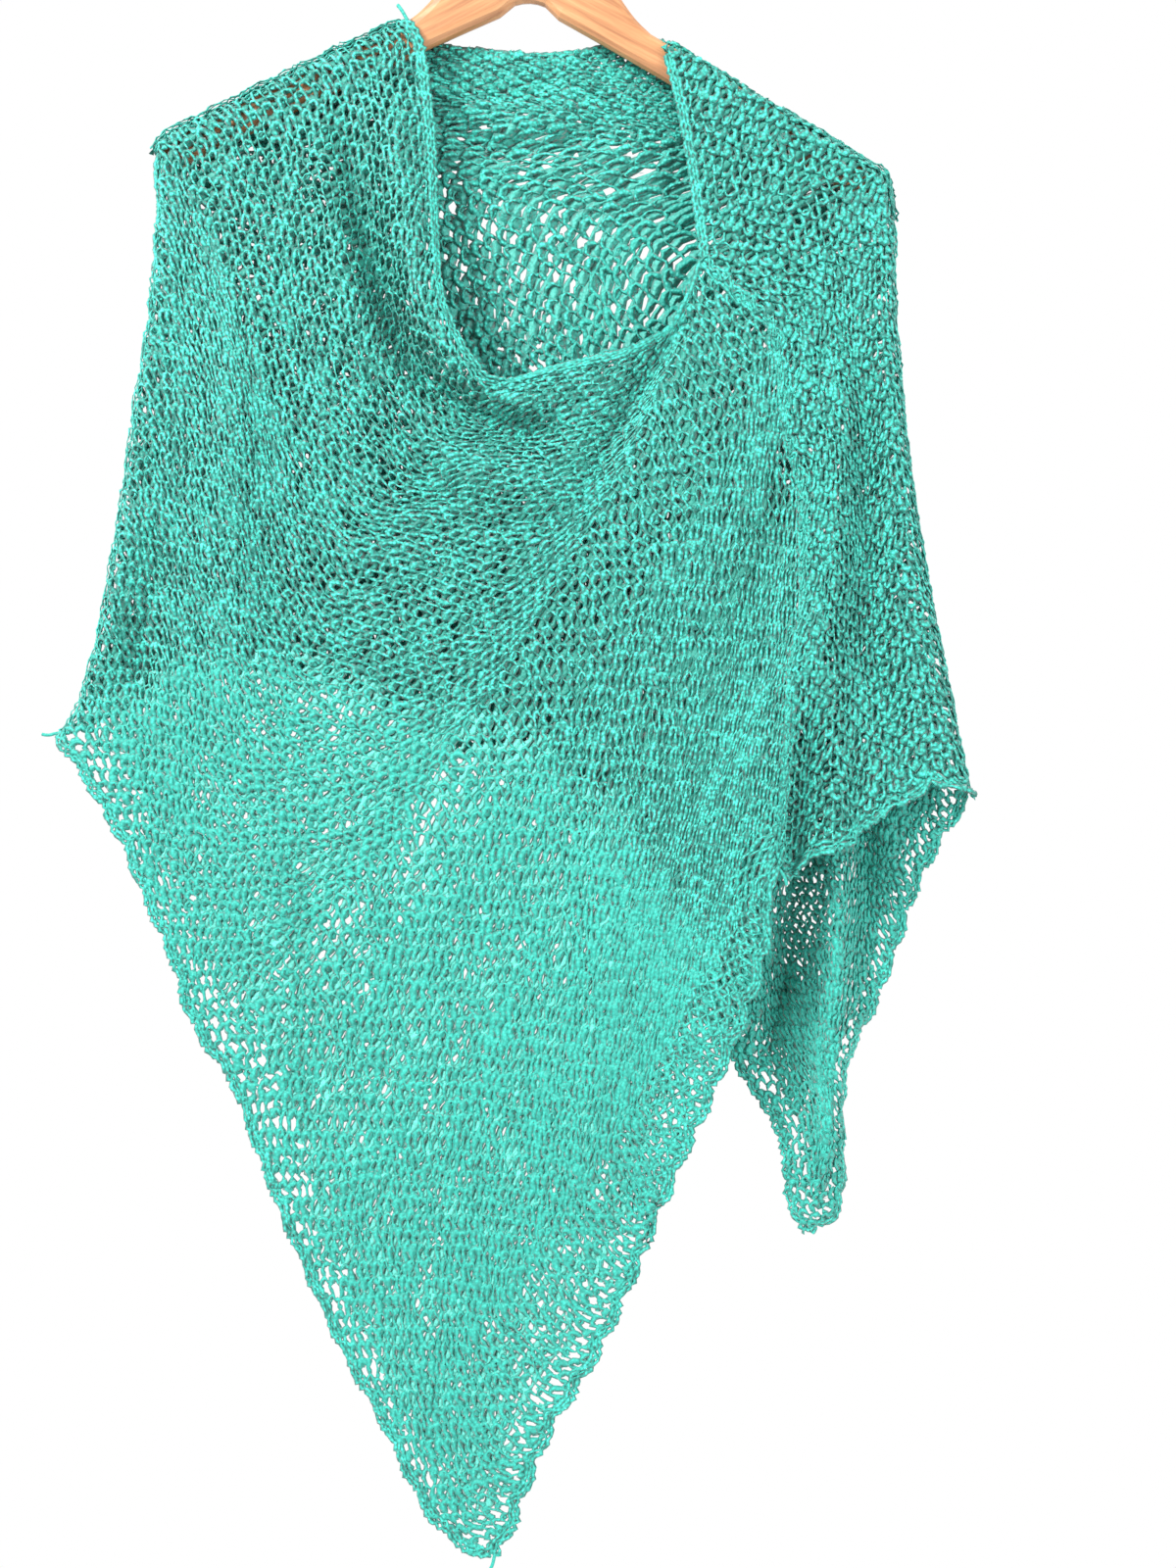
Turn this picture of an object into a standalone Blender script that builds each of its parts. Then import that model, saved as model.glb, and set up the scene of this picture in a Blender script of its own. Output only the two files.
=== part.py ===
"""Openwork knitted poncho hanging on a wooden hanger.

The poncho is one knitted rectangle, folded over the hanger and joined by one seam down the front right.
It hangs in three stretches, each a thin wall: the front half, the back half, and the part of the back
half that comes over the right shoulder to the seam. The origin is where the hook bears on its rail,
+Z is up and the front faces -Y. Tables are in millimetres: across is to the right of the hook as seen
from the front, drop is the distance below the hook's bearing point.
"""

import math

import bmesh
import bpy
import numpy as np

MM = 0.001
CURVE_STEPS = 12

# Cloth
WALL = 2.0
FOLD_GAP = 0.35
SEAM_GAP = 0.6
CORNER_CUT = 3.0
SEAM_START = 135.0
LEFT_FOLD_START = 71.0
RIGHT_FOLD_START = 76.8
BACK_WIDTH = 400.0
WRAP_WIDTH = 120.0

# How finely the nets are divided: distance along a folded edge, and the rows up to there
BESIDE_NECK_ROWS = {"end": (8, 32, SEAM_START), "rows": (2, 3, 5)}
BESIDE_SEAM_ROWS = {"end": (158, 172, None), "rows": (2, 3, 13)}
FRONT_ROWS = {"end": (9, 90, 155, 176, None), "rows": (2, 6, 5, 4, 11)}
BACK_ROWS = {"end": (138, 172, 246, 284, None), "rows": (5, 6, 3, 6, 12)}
FRONT_COLUMNS = 18
BACK_COLUMNS = 26
UPRIGHT_COLUMNS = 5

# Hanger, in its own upright frame before it tilts
TILT = math.radians(2.8)
HALF_SPAN = 221.0
CLOTH_HALF_SPAN = 222.5
ARM_HALF_HEIGHT = 10.0
ARM_THICKNESS = 13.0
ARM_ROUNDING = 6.2
ARM_DROP_AT_CENTRE = 101.3
ARM_SLOPE = 0.485
ARM_CURVE = 0.000218
ARM_UPPER_START = 84.0
ARM_LOWER_START = 22.0
ARM_OUTLINE_POINTS = 9
NOTCH_HALF_WIDTH = 9.0
NOTCH_DEPTH = 1.2
NOTCH_CURVE = 0.022
CLOTH_CLEARANCE = 0.35
CROWN = {
    "across": (75, 66, 57, 46, 35, 20, 0),
    "drop": (127.5, 119.5, 108.5, 93, 80.5, 73.5, 72),
}

# Hook
WIRE_RADIUS = 1.8
HOOK_INNER_RADIUS = 21.0
SHANK_IN_WOOD = 15.0
SHANK_CLEARANCE = 0.3
SHANK_ABOVE_WOOD = 5.0
SWAN_NECK = {"across": (0.3, 3.5), "drop": (57.0, 49.5)}
HOOK_MOUTH = math.radians(215)
HOOK_START = math.radians(-60)
HOOK_STEPS = 30

# Edges of the cloth
LEFT_FOLD_BELOW_SHOULDER = {
    "across": (-234, -233, -235, -239, -247, -253, -261, -270, -278, -286, -292),
    "drop": (222, 244, 271, 313, 361, 409, 457, 505, 532, 552, 558),
}
RIGHT_FOLD_BELOW_SHOULDER = {
    "across": (216, 217, 217, 220, 223, 228, 234, 240, 250, 255, 260, 263),
    "drop": (242, 258, 295, 331, 367, 409, 445, 481, 529, 556, 580, 598),
}
FRONT_HEM = {
    "across": (-27, -46, -67, -90, -116, -138, -158, -175, -184, -200, -212, -218, -238, -247, -276, -292),
    "drop": (1057, 1050, 1028, 981, 933, 885, 838, 791, 767, 745, 720, 696, 650, 627, 578, 558),
}
UPRIGHT_ROWS = 6
FRONT_SHORT_END = {
    "across": (144, 142, 138, 130, 123, 116, 96, 73, 55, 31, 6, -13, -20, -27),
    "drop": (641, 672, 696, 725, 755, 764, 790, 837, 885, 938, 979, 1026, 1045, 1057),
}
SEAM = {
    "across": (144, 145, 148, 152, 158, 159, 158, 150, 145, 141, 119, 98),
    "drop": (641, 610, 569, 515, 488, 455, 406, 381, 336, 314, 293, 272),
}
FRONT_NECK = {
    "across": (98, 90, 78, 54, 30, 6, -17, -29, -38, -51, -58, -62, -64, -69, -73),
    "drop": (272, 295, 313, 327, 334, 340, 348, 348, 338, 316, 295, 248, 195, 154, 134),
}
NECK_POINT_ROW = {
    "across": (98, 93, 82, 62, 30, -8, -54, -105, -155, -192),
    "drop": (272, 292, 330, 377, 437, 500, 568, 637, 700, 757),
}
RIGHT_NECK = {
    "across": (74, 77, 82, 87, 91, 95, 98),
    "drop": (141, 151, 168, 192, 215, 245, 272),
}
BACK_NECK = {
    "across": (-72, -63, -50, -31, -6, 18, 36, 55, 66),
    "drop": (126, 132, 135, 137, 139, 138, 135, 130, 129.5),
}
SLEEVE_HEM = {
    "across": (144, 153, 165, 176, 185, 196, 213, 230, 237, 249, 259, 263),
    "drop": (641, 640, 630, 623, 620, 610, 599, 589, 585, 586, 591, 598),
}
BACK_SHORT_END = {
    "across": (263, 257, 246, 234, 225, 216, 207, 197, 188, 188, 187, 181, 167),
    "drop": (598, 609, 626, 650, 674, 701, 725, 746, 774, 819, 843, 857, 867),
}
BACK_HEM = {
    "across": (-292, -268, -234, -207, -176, -143, -110, -73, -43, -6, 12, 33, 54, 74, 94, 125, 139, 150, 156, 167),
    "drop": (558, 546, 532, 521, 517, 520, 536, 550, 570, 583, 597, 626, 650, 680, 717, 766, 787, 808, 853, 867),
}

# How far the cloth hangs from the plane of the hanger, and how wide its folded edges round
FRONT_HANG = {"drop": (120, 200, 300, 420, 640, 850, 1065), "depth": (8.6, 10, 16, 20, 20, 15, 11)}
BACK_HANG = {"drop": (120, 200, 300, 450, 700, 870), "depth": (8.6, 10, 15, 18, 15, 11)}
EDGE_ROUNDING = {"drop": (120, 230, 420, 700), "radius": (8.4, 8.4, 12, 14)}

# Folds: rise is towards the viewer on either half, width is how fast the fold dies away to its sides
FRONT_FOLDS = {
    "cowl valley": {
        "across": (-124, -117, -109, -97, -82, -61, -35, -5, 18),
        "drop": (181, 212, 247, 289, 324, 351, 368, 379, 386),
        "width": (10, 11, 12, 13, 13, 13, 12, 11, 10),
        "rise": (0, -6, -9, -11, -12, -12, -9, -5, 0),
    },
    "cowl band": {
        "across": (-96, -91, -82, -73, -58, -41, -17, 15, 50),
        "drop": (165, 188, 236, 283, 321, 345, 358, 352, 338),
        "width": (11, 12, 13, 13, 13, 12, 12, 12, 12),
        "rise": (0, 5, 8, 10, 11, 10, 7, 4, 0),
    },
    "second ridge": {
        "across": (-136, -127, -121, -112, -96, -70, -35, 1, 40),
        "drop": (176, 212, 253, 303, 344, 384, 404, 410, 400),
        "width": (10, 12, 14, 15, 16, 17, 18, 18, 18),
        "rise": (0, 7, 9, 9, 9, 9, 9, 7, 0),
    },
    "second valley": {
        "across": (-105, -98, -85, -70, -58, -48),
        "drop": (330, 345, 371, 395, 413, 430),
        "width": (6, 7, 7, 7, 7, 7),
        "rise": (0, -5, -7, -7, -4, 0),
    },
    "neck point valley": {
        "across": (88, 83, 65, 45, 30, 24),
        "drop": (300, 315, 345, 380, 413, 430),
        "width": (8, 8, 9, 9, 9, 9),
        "rise": (0, -5, -7, -6, -3, 0),
    },
    "seam ridge": {
        "across": (188, 179, 176, 169, 159, 151, 148, 142, 135, 129),
        "drop": (312, 383, 436, 477, 513, 548, 584, 631, 684, 719),
        "width": (14, 14, 14, 14, 14, 13, 13, 13, 13, 13),
        "rise": (0, 4, 5, 6, 7, 7, 7, 6, 4, 0),
    },
    "valley beside the ridge": {
        "across": (149, 148, 140, 128, 118),
        "drop": (360, 413, 460, 507, 560),
        "width": (12, 13, 14, 14, 14),
        "rise": (0, -5, -5, -4, 0),
    },
    "arm valley": {
        "across": (190, 198, 198, 199, 204, 213, 222),
        "drop": (290, 348, 401, 471, 519, 554, 580),
        "width": (14, 13, 12, 12, 12, 11, 9),
        "rise": (0, -6, -8, -8, -8, -6, 0),
    },
    "sleeve ridge": {
        "across": (168, 172, 177, 179, 178),
        "drop": (470, 505, 548, 589, 625),
        "width": (9, 9, 9, 9, 9),
        "rise": (0, 4, 6, 7, 6),
    },
    "under the front edge": {
        "across": (164, 161, 157, 154),
        "drop": (540, 572, 601, 640),
        "width": (9, 9, 9, 9),
        "rise": (0, -5, -7, -8),
    },
    "left edge valley": {
        "across": (-226, -235, -241, -250),
        "drop": (430, 483, 519, 552),
        "width": (12, 13, 13, 12),
        "rise": (0, -6, -8, 0),
    },
    "left ridge": {
        "across": (-180, -184, -184, -178, -170),
        "drop": (270, 342, 410, 500, 600),
        "width": (16, 16, 17, 18, 18),
        "rise": (0, 4, 5, 3, 0),
    },
    "lower valley": {
        "across": (-132, -136, -137, -132, -120),
        "drop": (590, 648, 710, 770, 840),
        "width": (14, 14, 14, 14, 14),
        "rise": (0, -5, -6, -4, 0),
    },
    "lower ridge": {
        "across": (40, 40, 30, 15),
        "drop": (560, 680, 800, 920),
        "width": (26, 26, 24, 20),
        "rise": (0, 6, 6, 0),
    },
}
BACK_FOLDS = {
    "flap ridge": {
        "across": (176, 182, 183, 180, 176, 168),
        "drop": (560, 626, 680, 741, 802, 850),
        "width": (12, 12, 12, 12, 12, 10),
        "rise": (0, 12, 14, 14, 12, 5),
    },
    "flap valley": {
        "across": (160, 158, 155, 150, 144, 145),
        "drop": (590, 638, 680, 717, 747, 790),
        "width": (8, 8, 8, 8, 8, 8),
        "rise": (0, -9, -12, -12, -9, 0),
    },
    "outer flap valley": {
        "across": (205, 202, 202, 200),
        "drop": (545, 600, 640, 700),
        "width": (10, 10, 10, 10),
        "rise": (0, -7, -8, 0),
    },
    "neck crease": {
        "across": (-60, -45, -25, 0, 15),
        "drop": (150, 158, 163, 161, 152),
        "width": (6, 7, 7, 7, 6),
        "rise": (0, -3, -4, -3, 0),
    },
    "lower neck crease": {
        "across": (-75, -60, -40, -10, 25, 60),
        "drop": (160, 178, 190, 197, 190, 165),
        "width": (8, 9, 9, 9, 9, 8),
        "rise": (0, -4, -5, -5, -4, 0),
    },
    "left drape": {
        "across": (-150, -115, -70, -30),
        "drop": (240, 350, 460, 560),
        "width": (20, 22, 22, 20),
        "rise": (0, -8, -8, 0),
    },
    "middle drape": {
        "across": (-5, 18, 45, 75),
        "drop": (270, 390, 520, 660),
        "width": (22, 24, 24, 20),
        "rise": (0, 7, 8, 0),
    },
    "right drape": {
        "across": (150, 130, 115, 110),
        "drop": (250, 380, 520, 690),
        "width": (18, 20, 20, 18),
        "rise": (0, -8, -9, 0),
    },
    "left hollow": {
        "across": (-200, -190, -185, -190),
        "drop": (270, 360, 440, 510),
        "width": (16, 18, 18, 16),
        "rise": (0, 5, 6, 0),
    },
}

COLOURS = {
    "aqua_yarn": {"base": (0.045, 0.56, 0.42), "roughness": 0.55, "metallic": 0.0},
    "pale_wood": {"base": (0.72, 0.40, 0.18), "roughness": 0.45, "metallic": 0.0},
    "hook_steel": {"base": (0.62, 0.62, 0.63), "roughness": 0.25, "metallic": 1.0},
}


def clear_scene():
    for thing in list(bpy.data.objects):
        bpy.data.objects.remove(thing, do_unlink=True)


def make_material(name):
    look = COLOURS[name]
    material = bpy.data.materials.new(name)
    material.use_nodes = True
    shader = material.node_tree.nodes["Principled BSDF"]
    shader.inputs["Base Color"].default_value = (*look["base"], 1.0)
    shader.inputs["Roughness"].default_value = look["roughness"]
    shader.inputs["Metallic"].default_value = look["metallic"]
    return material


def tilt(point):
    """Turns a point of the upright hanger clockwise about the hook's bearing point."""
    x, z = point
    return (x * math.cos(TILT) + z * math.sin(TILT), z * math.cos(TILT) - x * math.sin(TILT))


def arm_point(x, offset):
    """A point of the right arm, offset square to its middle line, in the upright frame."""
    slope = ARM_SLOPE + 2 * ARM_CURVE * x
    length = math.hypot(slope, 1)
    drop = ARM_DROP_AT_CENTRE + ARM_SLOPE * x + ARM_CURVE * x * x
    return (x + offset * slope / length, -drop + offset / length)


def arm_end(half_span, offset, elevations):
    """Points on the rounded end of the right arm, by their angles above level."""
    x, z = arm_point(half_span - ARM_HALF_HEIGHT, 0.0)
    reach = ARM_HALF_HEIGHT + offset
    return [(x + reach * math.cos(e), z + reach * math.sin(e)) for e in elevations]


def arm_end_start(half_span):
    """The angle above level at which the arm's upper side meets its round end."""
    return math.atan2(1, ARM_SLOPE + 2 * ARM_CURVE * (half_span - ARM_HALF_HEIGHT))


def places(table):
    """The rows of an edge's table as points (x, z)."""
    return [(a, -d) for a, d in zip(table["across"], table["drop"])]


def smooth_line(points, per_span=CURVE_STEPS):
    """A dense line through the points, curved as a spline with a short reach."""
    points = np.array(points, float)
    ends = np.concatenate([[2 * points[0] - points[1]], points, [2 * points[-1] - points[-2]]])
    line = []
    for a, b, c, d in zip(ends, ends[1:], ends[2:], ends[3:]):
        near, span, far = (max(np.linalg.norm(q - p), 1e-6) ** 0.5 for p, q in ((a, b), (b, c), (c, d)))
        leave = (b - a) / near - (c - a) / (near + span) + (c - b) / span
        reach = (c - b) / span - (d - b) / (span + far) + (d - c) / far
        t = np.linspace(0, 1, per_span, endpoint=False)[:, None]
        line.append(
            (2 * t**3 - 3 * t**2 + 1) * b
            + (t**3 - 2 * t**2 + t) * leave * span
            + (3 * t**2 - 2 * t**3) * c
            + (t**3 - t**2) * reach * span
        )
    line.append(points[-1:])
    return np.concatenate(line)


def along(line, shares):
    """The places at the given shares of a line's length."""
    steps = np.linalg.norm(np.diff(line, axis=0), axis=1)
    run = np.concatenate([[0], np.cumsum(steps)])
    return np.stack([np.interp(np.asarray(shares) * run[-1], run, line[:, k]) for k in (0, 1)], axis=1)


def line_length(line):
    return float(np.linalg.norm(np.diff(line, axis=0), axis=1).sum())


def shares_of(line):
    """The share of the line's length at which each of its points lies."""
    run = np.concatenate([[0], np.cumsum(np.linalg.norm(np.diff(line, axis=0), axis=1))])
    return run / run[-1]


def moved_aside(line, distance):
    """The line moved to its own right by a distance, seen from the front."""
    heading = np.gradient(line, axis=0)
    heading /= np.linalg.norm(heading, axis=1)[:, None]
    return line + distance * np.stack([heading[:, 1], -heading[:, 0]], axis=1)


def shoulder_fold(side, start, table):
    """The folded edge over one arm and down its side. Side is -1 on the left and 1 on the right."""
    lift = CLOTH_CLEARANCE + WALL / 2
    last = CLOTH_HALF_SPAN - ARM_HALF_HEIGHT
    over = [arm_point(x, ARM_HALF_HEIGHT + lift) for x in np.linspace(start, last, ARM_OUTLINE_POINTS)]
    turn = np.linspace(arm_end_start(CLOTH_HALF_SPAN), 0, 4)[1:]
    rows = [tilt((side * x, z)) for x, z in over + arm_end(CLOTH_HALF_SPAN, lift, turn)]
    return smooth_line(rows + places(table))


def nearest(points, line):
    """How far each point is from a line, and the place on the line counted in its points."""
    best = np.full(len(points), np.inf)
    where = np.zeros(len(points))
    for i, (a, b) in enumerate(zip(line, line[1:])):
        d = b - a
        t = np.clip(((points - a) @ d) / max(d @ d, 1e-12), 0, 1)
        gap = np.linalg.norm(points - a - t[:, None] * d, axis=1)
        closer = gap < best
        best[closer] = gap[closer]
        where[closer] = i + t[closer]
    return best, where


def fold_rise(points, folds):
    """What the folds add to the depth at each point, towards the viewer."""
    total = np.zeros(len(points))
    for table in folds.values():
        line = smooth_line(places(table), CURVE_STEPS // 3)
        gap, where = nearest(points, line)
        rows = np.arange(len(table["rise"])) * (CURVE_STEPS // 3)
        width = np.interp(where, rows, table["width"])
        rise = np.interp(where, rows, table["rise"])
        total += rise * np.exp(-((gap / width) ** 2))
    return total


def nearest_place(point, line):
    """The number of the line's point that lies nearest to a place."""
    return int(np.argmin(np.linalg.norm(line - point, axis=1)))


def edge_share(points, fold_lines):
    """0 on a folded edge, rising round it to 1 on the flat of the cloth."""
    gap = np.full(len(points), np.inf)
    for line in fold_lines:
        gap = np.minimum(gap, nearest(points, line)[0])
    radius = np.interp(-points[:, 1], EDGE_ROUNDING["drop"], EDGE_ROUNDING["radius"])
    inside = np.clip(gap / radius, 0, 1)
    return np.sqrt(1 - (1 - inside) ** 2), np.clip(gap / (2 * radius), 0, 1)


def hang(points, table, folds, fold_lines):
    """How far the cloth stands from the hanger's plane at each point."""
    rounding, calm = edge_share(points, fold_lines)
    base = np.interp(-points[:, 1], table["drop"], table["depth"])
    return base * rounding, fold_rise(points, folds) * calm


def patch(top, bottom, left, right):
    """A net of points between four edges, given as rows of points that run left to right and top to bottom."""
    s, t = shares_of(top)[None, :, None], shares_of(right)[:, None, None]
    across = (1 - t) * top[None] + t * bottom[None]
    down = (1 - s) * left[:, None] + s * right[:, None]
    corners = (1 - t) * ((1 - s) * top[0] + s * top[-1]) + t * ((1 - s) * bottom[0] + s * bottom[-1])
    return across + down - corners


def fold_steps(length):
    """Shares of a line near a folded edge, by how far round the fold they lie."""
    turn = np.radians((0, 24, 46, 68, 90))
    return EDGE_ROUNDING["radius"][0] * (1 - np.cos(turn)) / length


def shares(length, start, table):
    """Shares of a line from a start in mm, each stretch of the table evenly divided. None is the line's end."""
    run = [start]
    for end, rows in zip(table["end"], table["rows"]):
        run += list(np.linspace(run[-1], end or length, rows + 1)[1:])
    return np.array(run) / length


def cloth_wall(name, net, depth, material, collection):
    """A wall of even thickness on a net of points with depths, in its own object."""
    rows, columns = net.shape[:2]
    points = net.reshape(-1, 2)
    shape = bmesh.new()
    verts = [shape.verts.new((x * MM, -y * MM, z * MM)) for (x, z), y in zip(points, depth)]
    for r in range(rows - 1):
        for c in range(columns - 1):
            i = r * columns + c
            shape.faces.new((verts[i], verts[i + columns], verts[i + columns + 1], verts[i + 1]))
    bmesh.ops.recalc_face_normals(shape, faces=shape.faces)
    mesh = bpy.data.meshes.new(name)
    shape.to_mesh(mesh)
    shape.free()
    mesh.shade_smooth()
    mesh.materials.append(material)
    cloth = bpy.data.objects.new(name, mesh)
    collection.objects.link(cloth)
    wall = cloth.modifiers.new("wall", "SOLIDIFY")
    wall.thickness = WALL * MM
    wall.offset = 0.0
    return cloth


def make_cloth(material, collection):
    left_fold = shoulder_fold(-1, LEFT_FOLD_START, LEFT_FOLD_BELOW_SHOULDER)
    right_fold = shoulder_fold(1, RIGHT_FOLD_START, RIGHT_FOLD_BELOW_SHOULDER)

    # Over the right shoulder: a wedge that widens from the neck to the sleeve hem
    right_length = line_length(right_fold)
    beside_neck = shares(right_length, CORNER_CUT, BESIDE_NECK_ROWS)
    beside_seam = shares(right_length, SEAM_START, BESIDE_SEAM_ROWS)
    neck = smooth_line([tuple(right_fold[0])] + places(RIGHT_NECK))
    seam_rows = along(smooth_line(places(SEAM)[::-1]), (beside_seam - beside_seam[0]) / (1 - beside_seam[0]))
    neck_rows = along(neck, beside_neck * right_length / SEAM_START)
    seam_side = moved_aside(np.concatenate([neck_rows[:-1], seam_rows]), -SEAM_GAP)
    fold_side = along(right_fold, np.concatenate([beside_neck[:-1], beside_seam]))
    s = np.concatenate([(0, 0.04, 0.1), np.linspace(0.18, 0.93, 10), 1 - fold_steps(WRAP_WIDTH)[-2::-1]])
    peak = along(np.array([seam_side[0], fold_side[0]]), s)
    net = patch(peak, along(smooth_line(places(SLEEVE_HEM)), s), seam_side, fold_side)
    base, rise = hang(net.reshape(-1, 2), FRONT_HANG, FRONT_FOLDS, [right_fold])
    cloth_wall("poncho_wrap", net, FOLD_GAP + base + rise, material, collection)

    # Front half, in two nets that meet at the row through the neck point
    t = shares(line_length(left_fold), 0, FRONT_ROWS)
    hem, short_end = smooth_line(places(FRONT_HEM)), places(FRONT_SHORT_END)
    middle_row = smooth_line(places(NECK_POINT_ROW))
    middle = nearest_place(middle_row[-1], hem)
    middle_row[-1] = hem[middle]
    upright = along(smooth_line(short_end[:UPRIGHT_ROWS][::-1]), np.linspace(0, 1, UPRIGHT_COLUMNS))
    inner_edge = np.concatenate([upright[:-1], seam_rows[::-1]])
    hem_row = along(hem[: middle + 1], shares_of(inner_edge))
    end_row = along(smooth_line(short_end[UPRIGHT_ROWS - 1 :]), t)
    right_net = patch(inner_edge, hem_row, end_row, along(middle_row, t))
    neck = smooth_line(places(FRONT_NECK) + [tuple(left_fold[0])])
    s = np.concatenate([np.linspace(0, 0.95, FRONT_COLUMNS), 1 - fold_steps(line_length(neck))[::-1]])
    left_net = patch(along(neck, s), along(hem[middle:], s), along(middle_row, t), along(left_fold, t))
    net = np.concatenate([right_net, left_net[:, 1:]], axis=1)
    base, rise = hang(net.reshape(-1, 2), FRONT_HANG, FRONT_FOLDS, [left_fold])
    cloth_wall("poncho_front", net, FOLD_GAP + base + rise, material, collection)

    # Back half: from the left fold to the right fold and the short end, from the neck down to the hem
    neck = smooth_line([tuple(left_fold[0])] + places(BACK_NECK) + [tuple(right_fold[0])])
    right_side = np.concatenate([right_fold, smooth_line(places(BACK_SHORT_END))[1:]])
    steps = fold_steps(BACK_WIDTH)
    s = np.concatenate([steps, np.linspace(steps[-1], 1 - steps[-1], BACK_COLUMNS)[1:-1], 1 - steps[::-1]])
    t = shares(line_length(right_side), 0, BACK_ROWS)
    net = patch(along(neck, s), along(smooth_line(places(BACK_HEM)), s), along(left_fold, t), along(right_side, t))
    base, rise = hang(net.reshape(-1, 2), BACK_HANG, BACK_FOLDS, [left_fold, right_fold])
    cloth_wall("poncho_back", net, rise - base - FOLD_GAP, material, collection)


def hanger_outline():
    """The hanger's outline seen from the front, clockwise from the middle of its crown."""
    crown = smooth_line(places(CROWN)[::-1], CURVE_STEPS // 4)
    arm_last = HALF_SPAN - ARM_HALF_HEIGHT
    upper_places = np.linspace(ARM_UPPER_START, arm_last, ARM_OUTLINE_POINTS)
    lower_places = np.linspace(arm_last, ARM_LOWER_START, ARM_OUTLINE_POINTS)
    upper = [arm_point(x, ARM_HALF_HEIGHT) for x in upper_places]
    start = arm_end_start(HALF_SPAN)
    end = arm_end(HALF_SPAN, 0.0, np.linspace(start, start - math.pi, ARM_OUTLINE_POINTS)[1:-1])
    lower = [arm_point(x, -ARM_HALF_HEIGHT) for x in lower_places]
    notch_top = arm_point(0, -ARM_HALF_HEIGHT)[1] - NOTCH_DEPTH
    notch = [(x, notch_top - NOTCH_CURVE * x * x) for x in (NOTCH_HALF_WIDTH, NOTCH_HALF_WIDTH / 2)]
    right = [tuple(p) for p in crown[1:]] + upper + end + lower + notch
    left = [(-x, z) for x, z in right[::-1]]
    return [tuple(crown[0])] + right + [(0.0, notch_top)] + left


def mesh_from(thing, name, collection):
    """A plain mesh object from a curve, with its caps welded on."""
    bpy.context.view_layer.update()
    mesh = bpy.data.meshes.new_from_object(thing.evaluated_get(bpy.context.evaluated_depsgraph_get()))
    shape = bmesh.new()
    shape.from_mesh(mesh)
    bmesh.ops.remove_doubles(shape, verts=shape.verts, dist=0.01 * MM)
    bmesh.ops.recalc_face_normals(shape, faces=shape.faces)
    shape.to_mesh(mesh)
    shape.free()
    solid = bpy.data.objects.new(name, mesh)
    solid.matrix_world = thing.matrix_world
    collection.objects.link(solid)
    bpy.data.objects.remove(thing, do_unlink=True)
    return solid


def make_hanger(material, collection, cutters):
    outline = bpy.data.curves.new("hanger_outline", "CURVE")
    outline.dimensions = "2D"
    outline.fill_mode = "BOTH"
    outline.extrude = (ARM_THICKNESS / 2 - ARM_ROUNDING) * MM
    outline.bevel_depth = ARM_ROUNDING * MM
    outline.bevel_resolution = 2
    outline.offset = -ARM_ROUNDING * MM
    rows = [tilt(p) for p in hanger_outline()]
    spline = outline.splines.new("POLY")
    spline.points.add(len(rows) - 1)
    for point, (x, z) in zip(spline.points, rows):
        point.co = (x * MM, z * MM, 0, 1)
    spline.use_cyclic_u = True
    board = bpy.data.objects.new("hanger_board", outline)
    board.rotation_euler = (math.pi / 2, 0, 0)
    collection.objects.link(board)
    hanger = mesh_from(board, "hanger", collection)
    hanger.data.materials.append(material)

    bpy.ops.mesh.primitive_cylinder_add(
        vertices=20,
        radius=(WIRE_RADIUS + SHANK_CLEARANCE) * MM,
        depth=2 * (SHANK_IN_WOOD + SHANK_CLEARANCE) * MM,
    )
    bore = bpy.context.object
    bore.name = "hook_bore"
    x, z = tilt((0, -CROWN["drop"][-1]))
    bore.location = (x * MM, 0, z * MM)
    bore.rotation_euler = (0, TILT, 0)
    bore.hide_render = True
    bore.display_type = "WIRE"
    for home in list(bore.users_collection):
        home.objects.unlink(bore)
    cutters.objects.link(bore)
    drill = hanger.modifiers.new("hook bore", "BOOLEAN")
    drill.operation = "DIFFERENCE"
    drill.object = bore
    return hanger


def make_hook(material, collection):
    ring = HOOK_INNER_RADIUS + WIRE_RADIUS
    turn = np.linspace(HOOK_START, HOOK_MOUTH, HOOK_STEPS)
    bend = [(ring * math.cos(a), ring * math.sin(a) - HOOK_INNER_RADIUS) for a in turn]
    wood_top = -CROWN["drop"][-1]
    shank = [(0, wood_top - SHANK_IN_WOOD), (0, wood_top - WIRE_RADIUS), (0, wood_top + SHANK_ABOVE_WOOD)]
    path = [tuple(p) for p in smooth_line(shank + places(SWAN_NECK) + bend[:1], CURVE_STEPS // 4)] + bend[1:]
    wire = bpy.data.curves.new("hook_wire", "CURVE")
    wire.dimensions = "3D"
    wire.bevel_depth = WIRE_RADIUS * MM
    wire.bevel_resolution = 2
    wire.use_fill_caps = True
    spline = wire.splines.new("POLY")
    spline.points.add(len(path) - 1)
    for point, place in zip(spline.points, path):
        x, z = tilt(place)
        point.co = (x * MM, 0, z * MM, 1)
    thing = bpy.data.objects.new("hook_wire", wire)
    collection.objects.link(thing)
    hook = mesh_from(thing, "hook", collection)
    hook.data.materials.append(material)
    hook.data.shade_smooth()
    return hook


def main():
    clear_scene()
    collection = bpy.data.collections.new("poncho_on_hanger")
    cutters = bpy.data.collections.new("cutters")
    bpy.context.scene.collection.children.link(collection)
    bpy.context.scene.collection.children.link(cutters)
    make_cloth(make_material("aqua_yarn"), collection)
    make_hanger(make_material("pale_wood"), collection, cutters)
    make_hook(make_material("hook_steel"), collection)


main()
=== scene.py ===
# Openwork knitted poncho on a wooden hanger: yarn, edges, seam, wood and steel
import math

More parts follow.
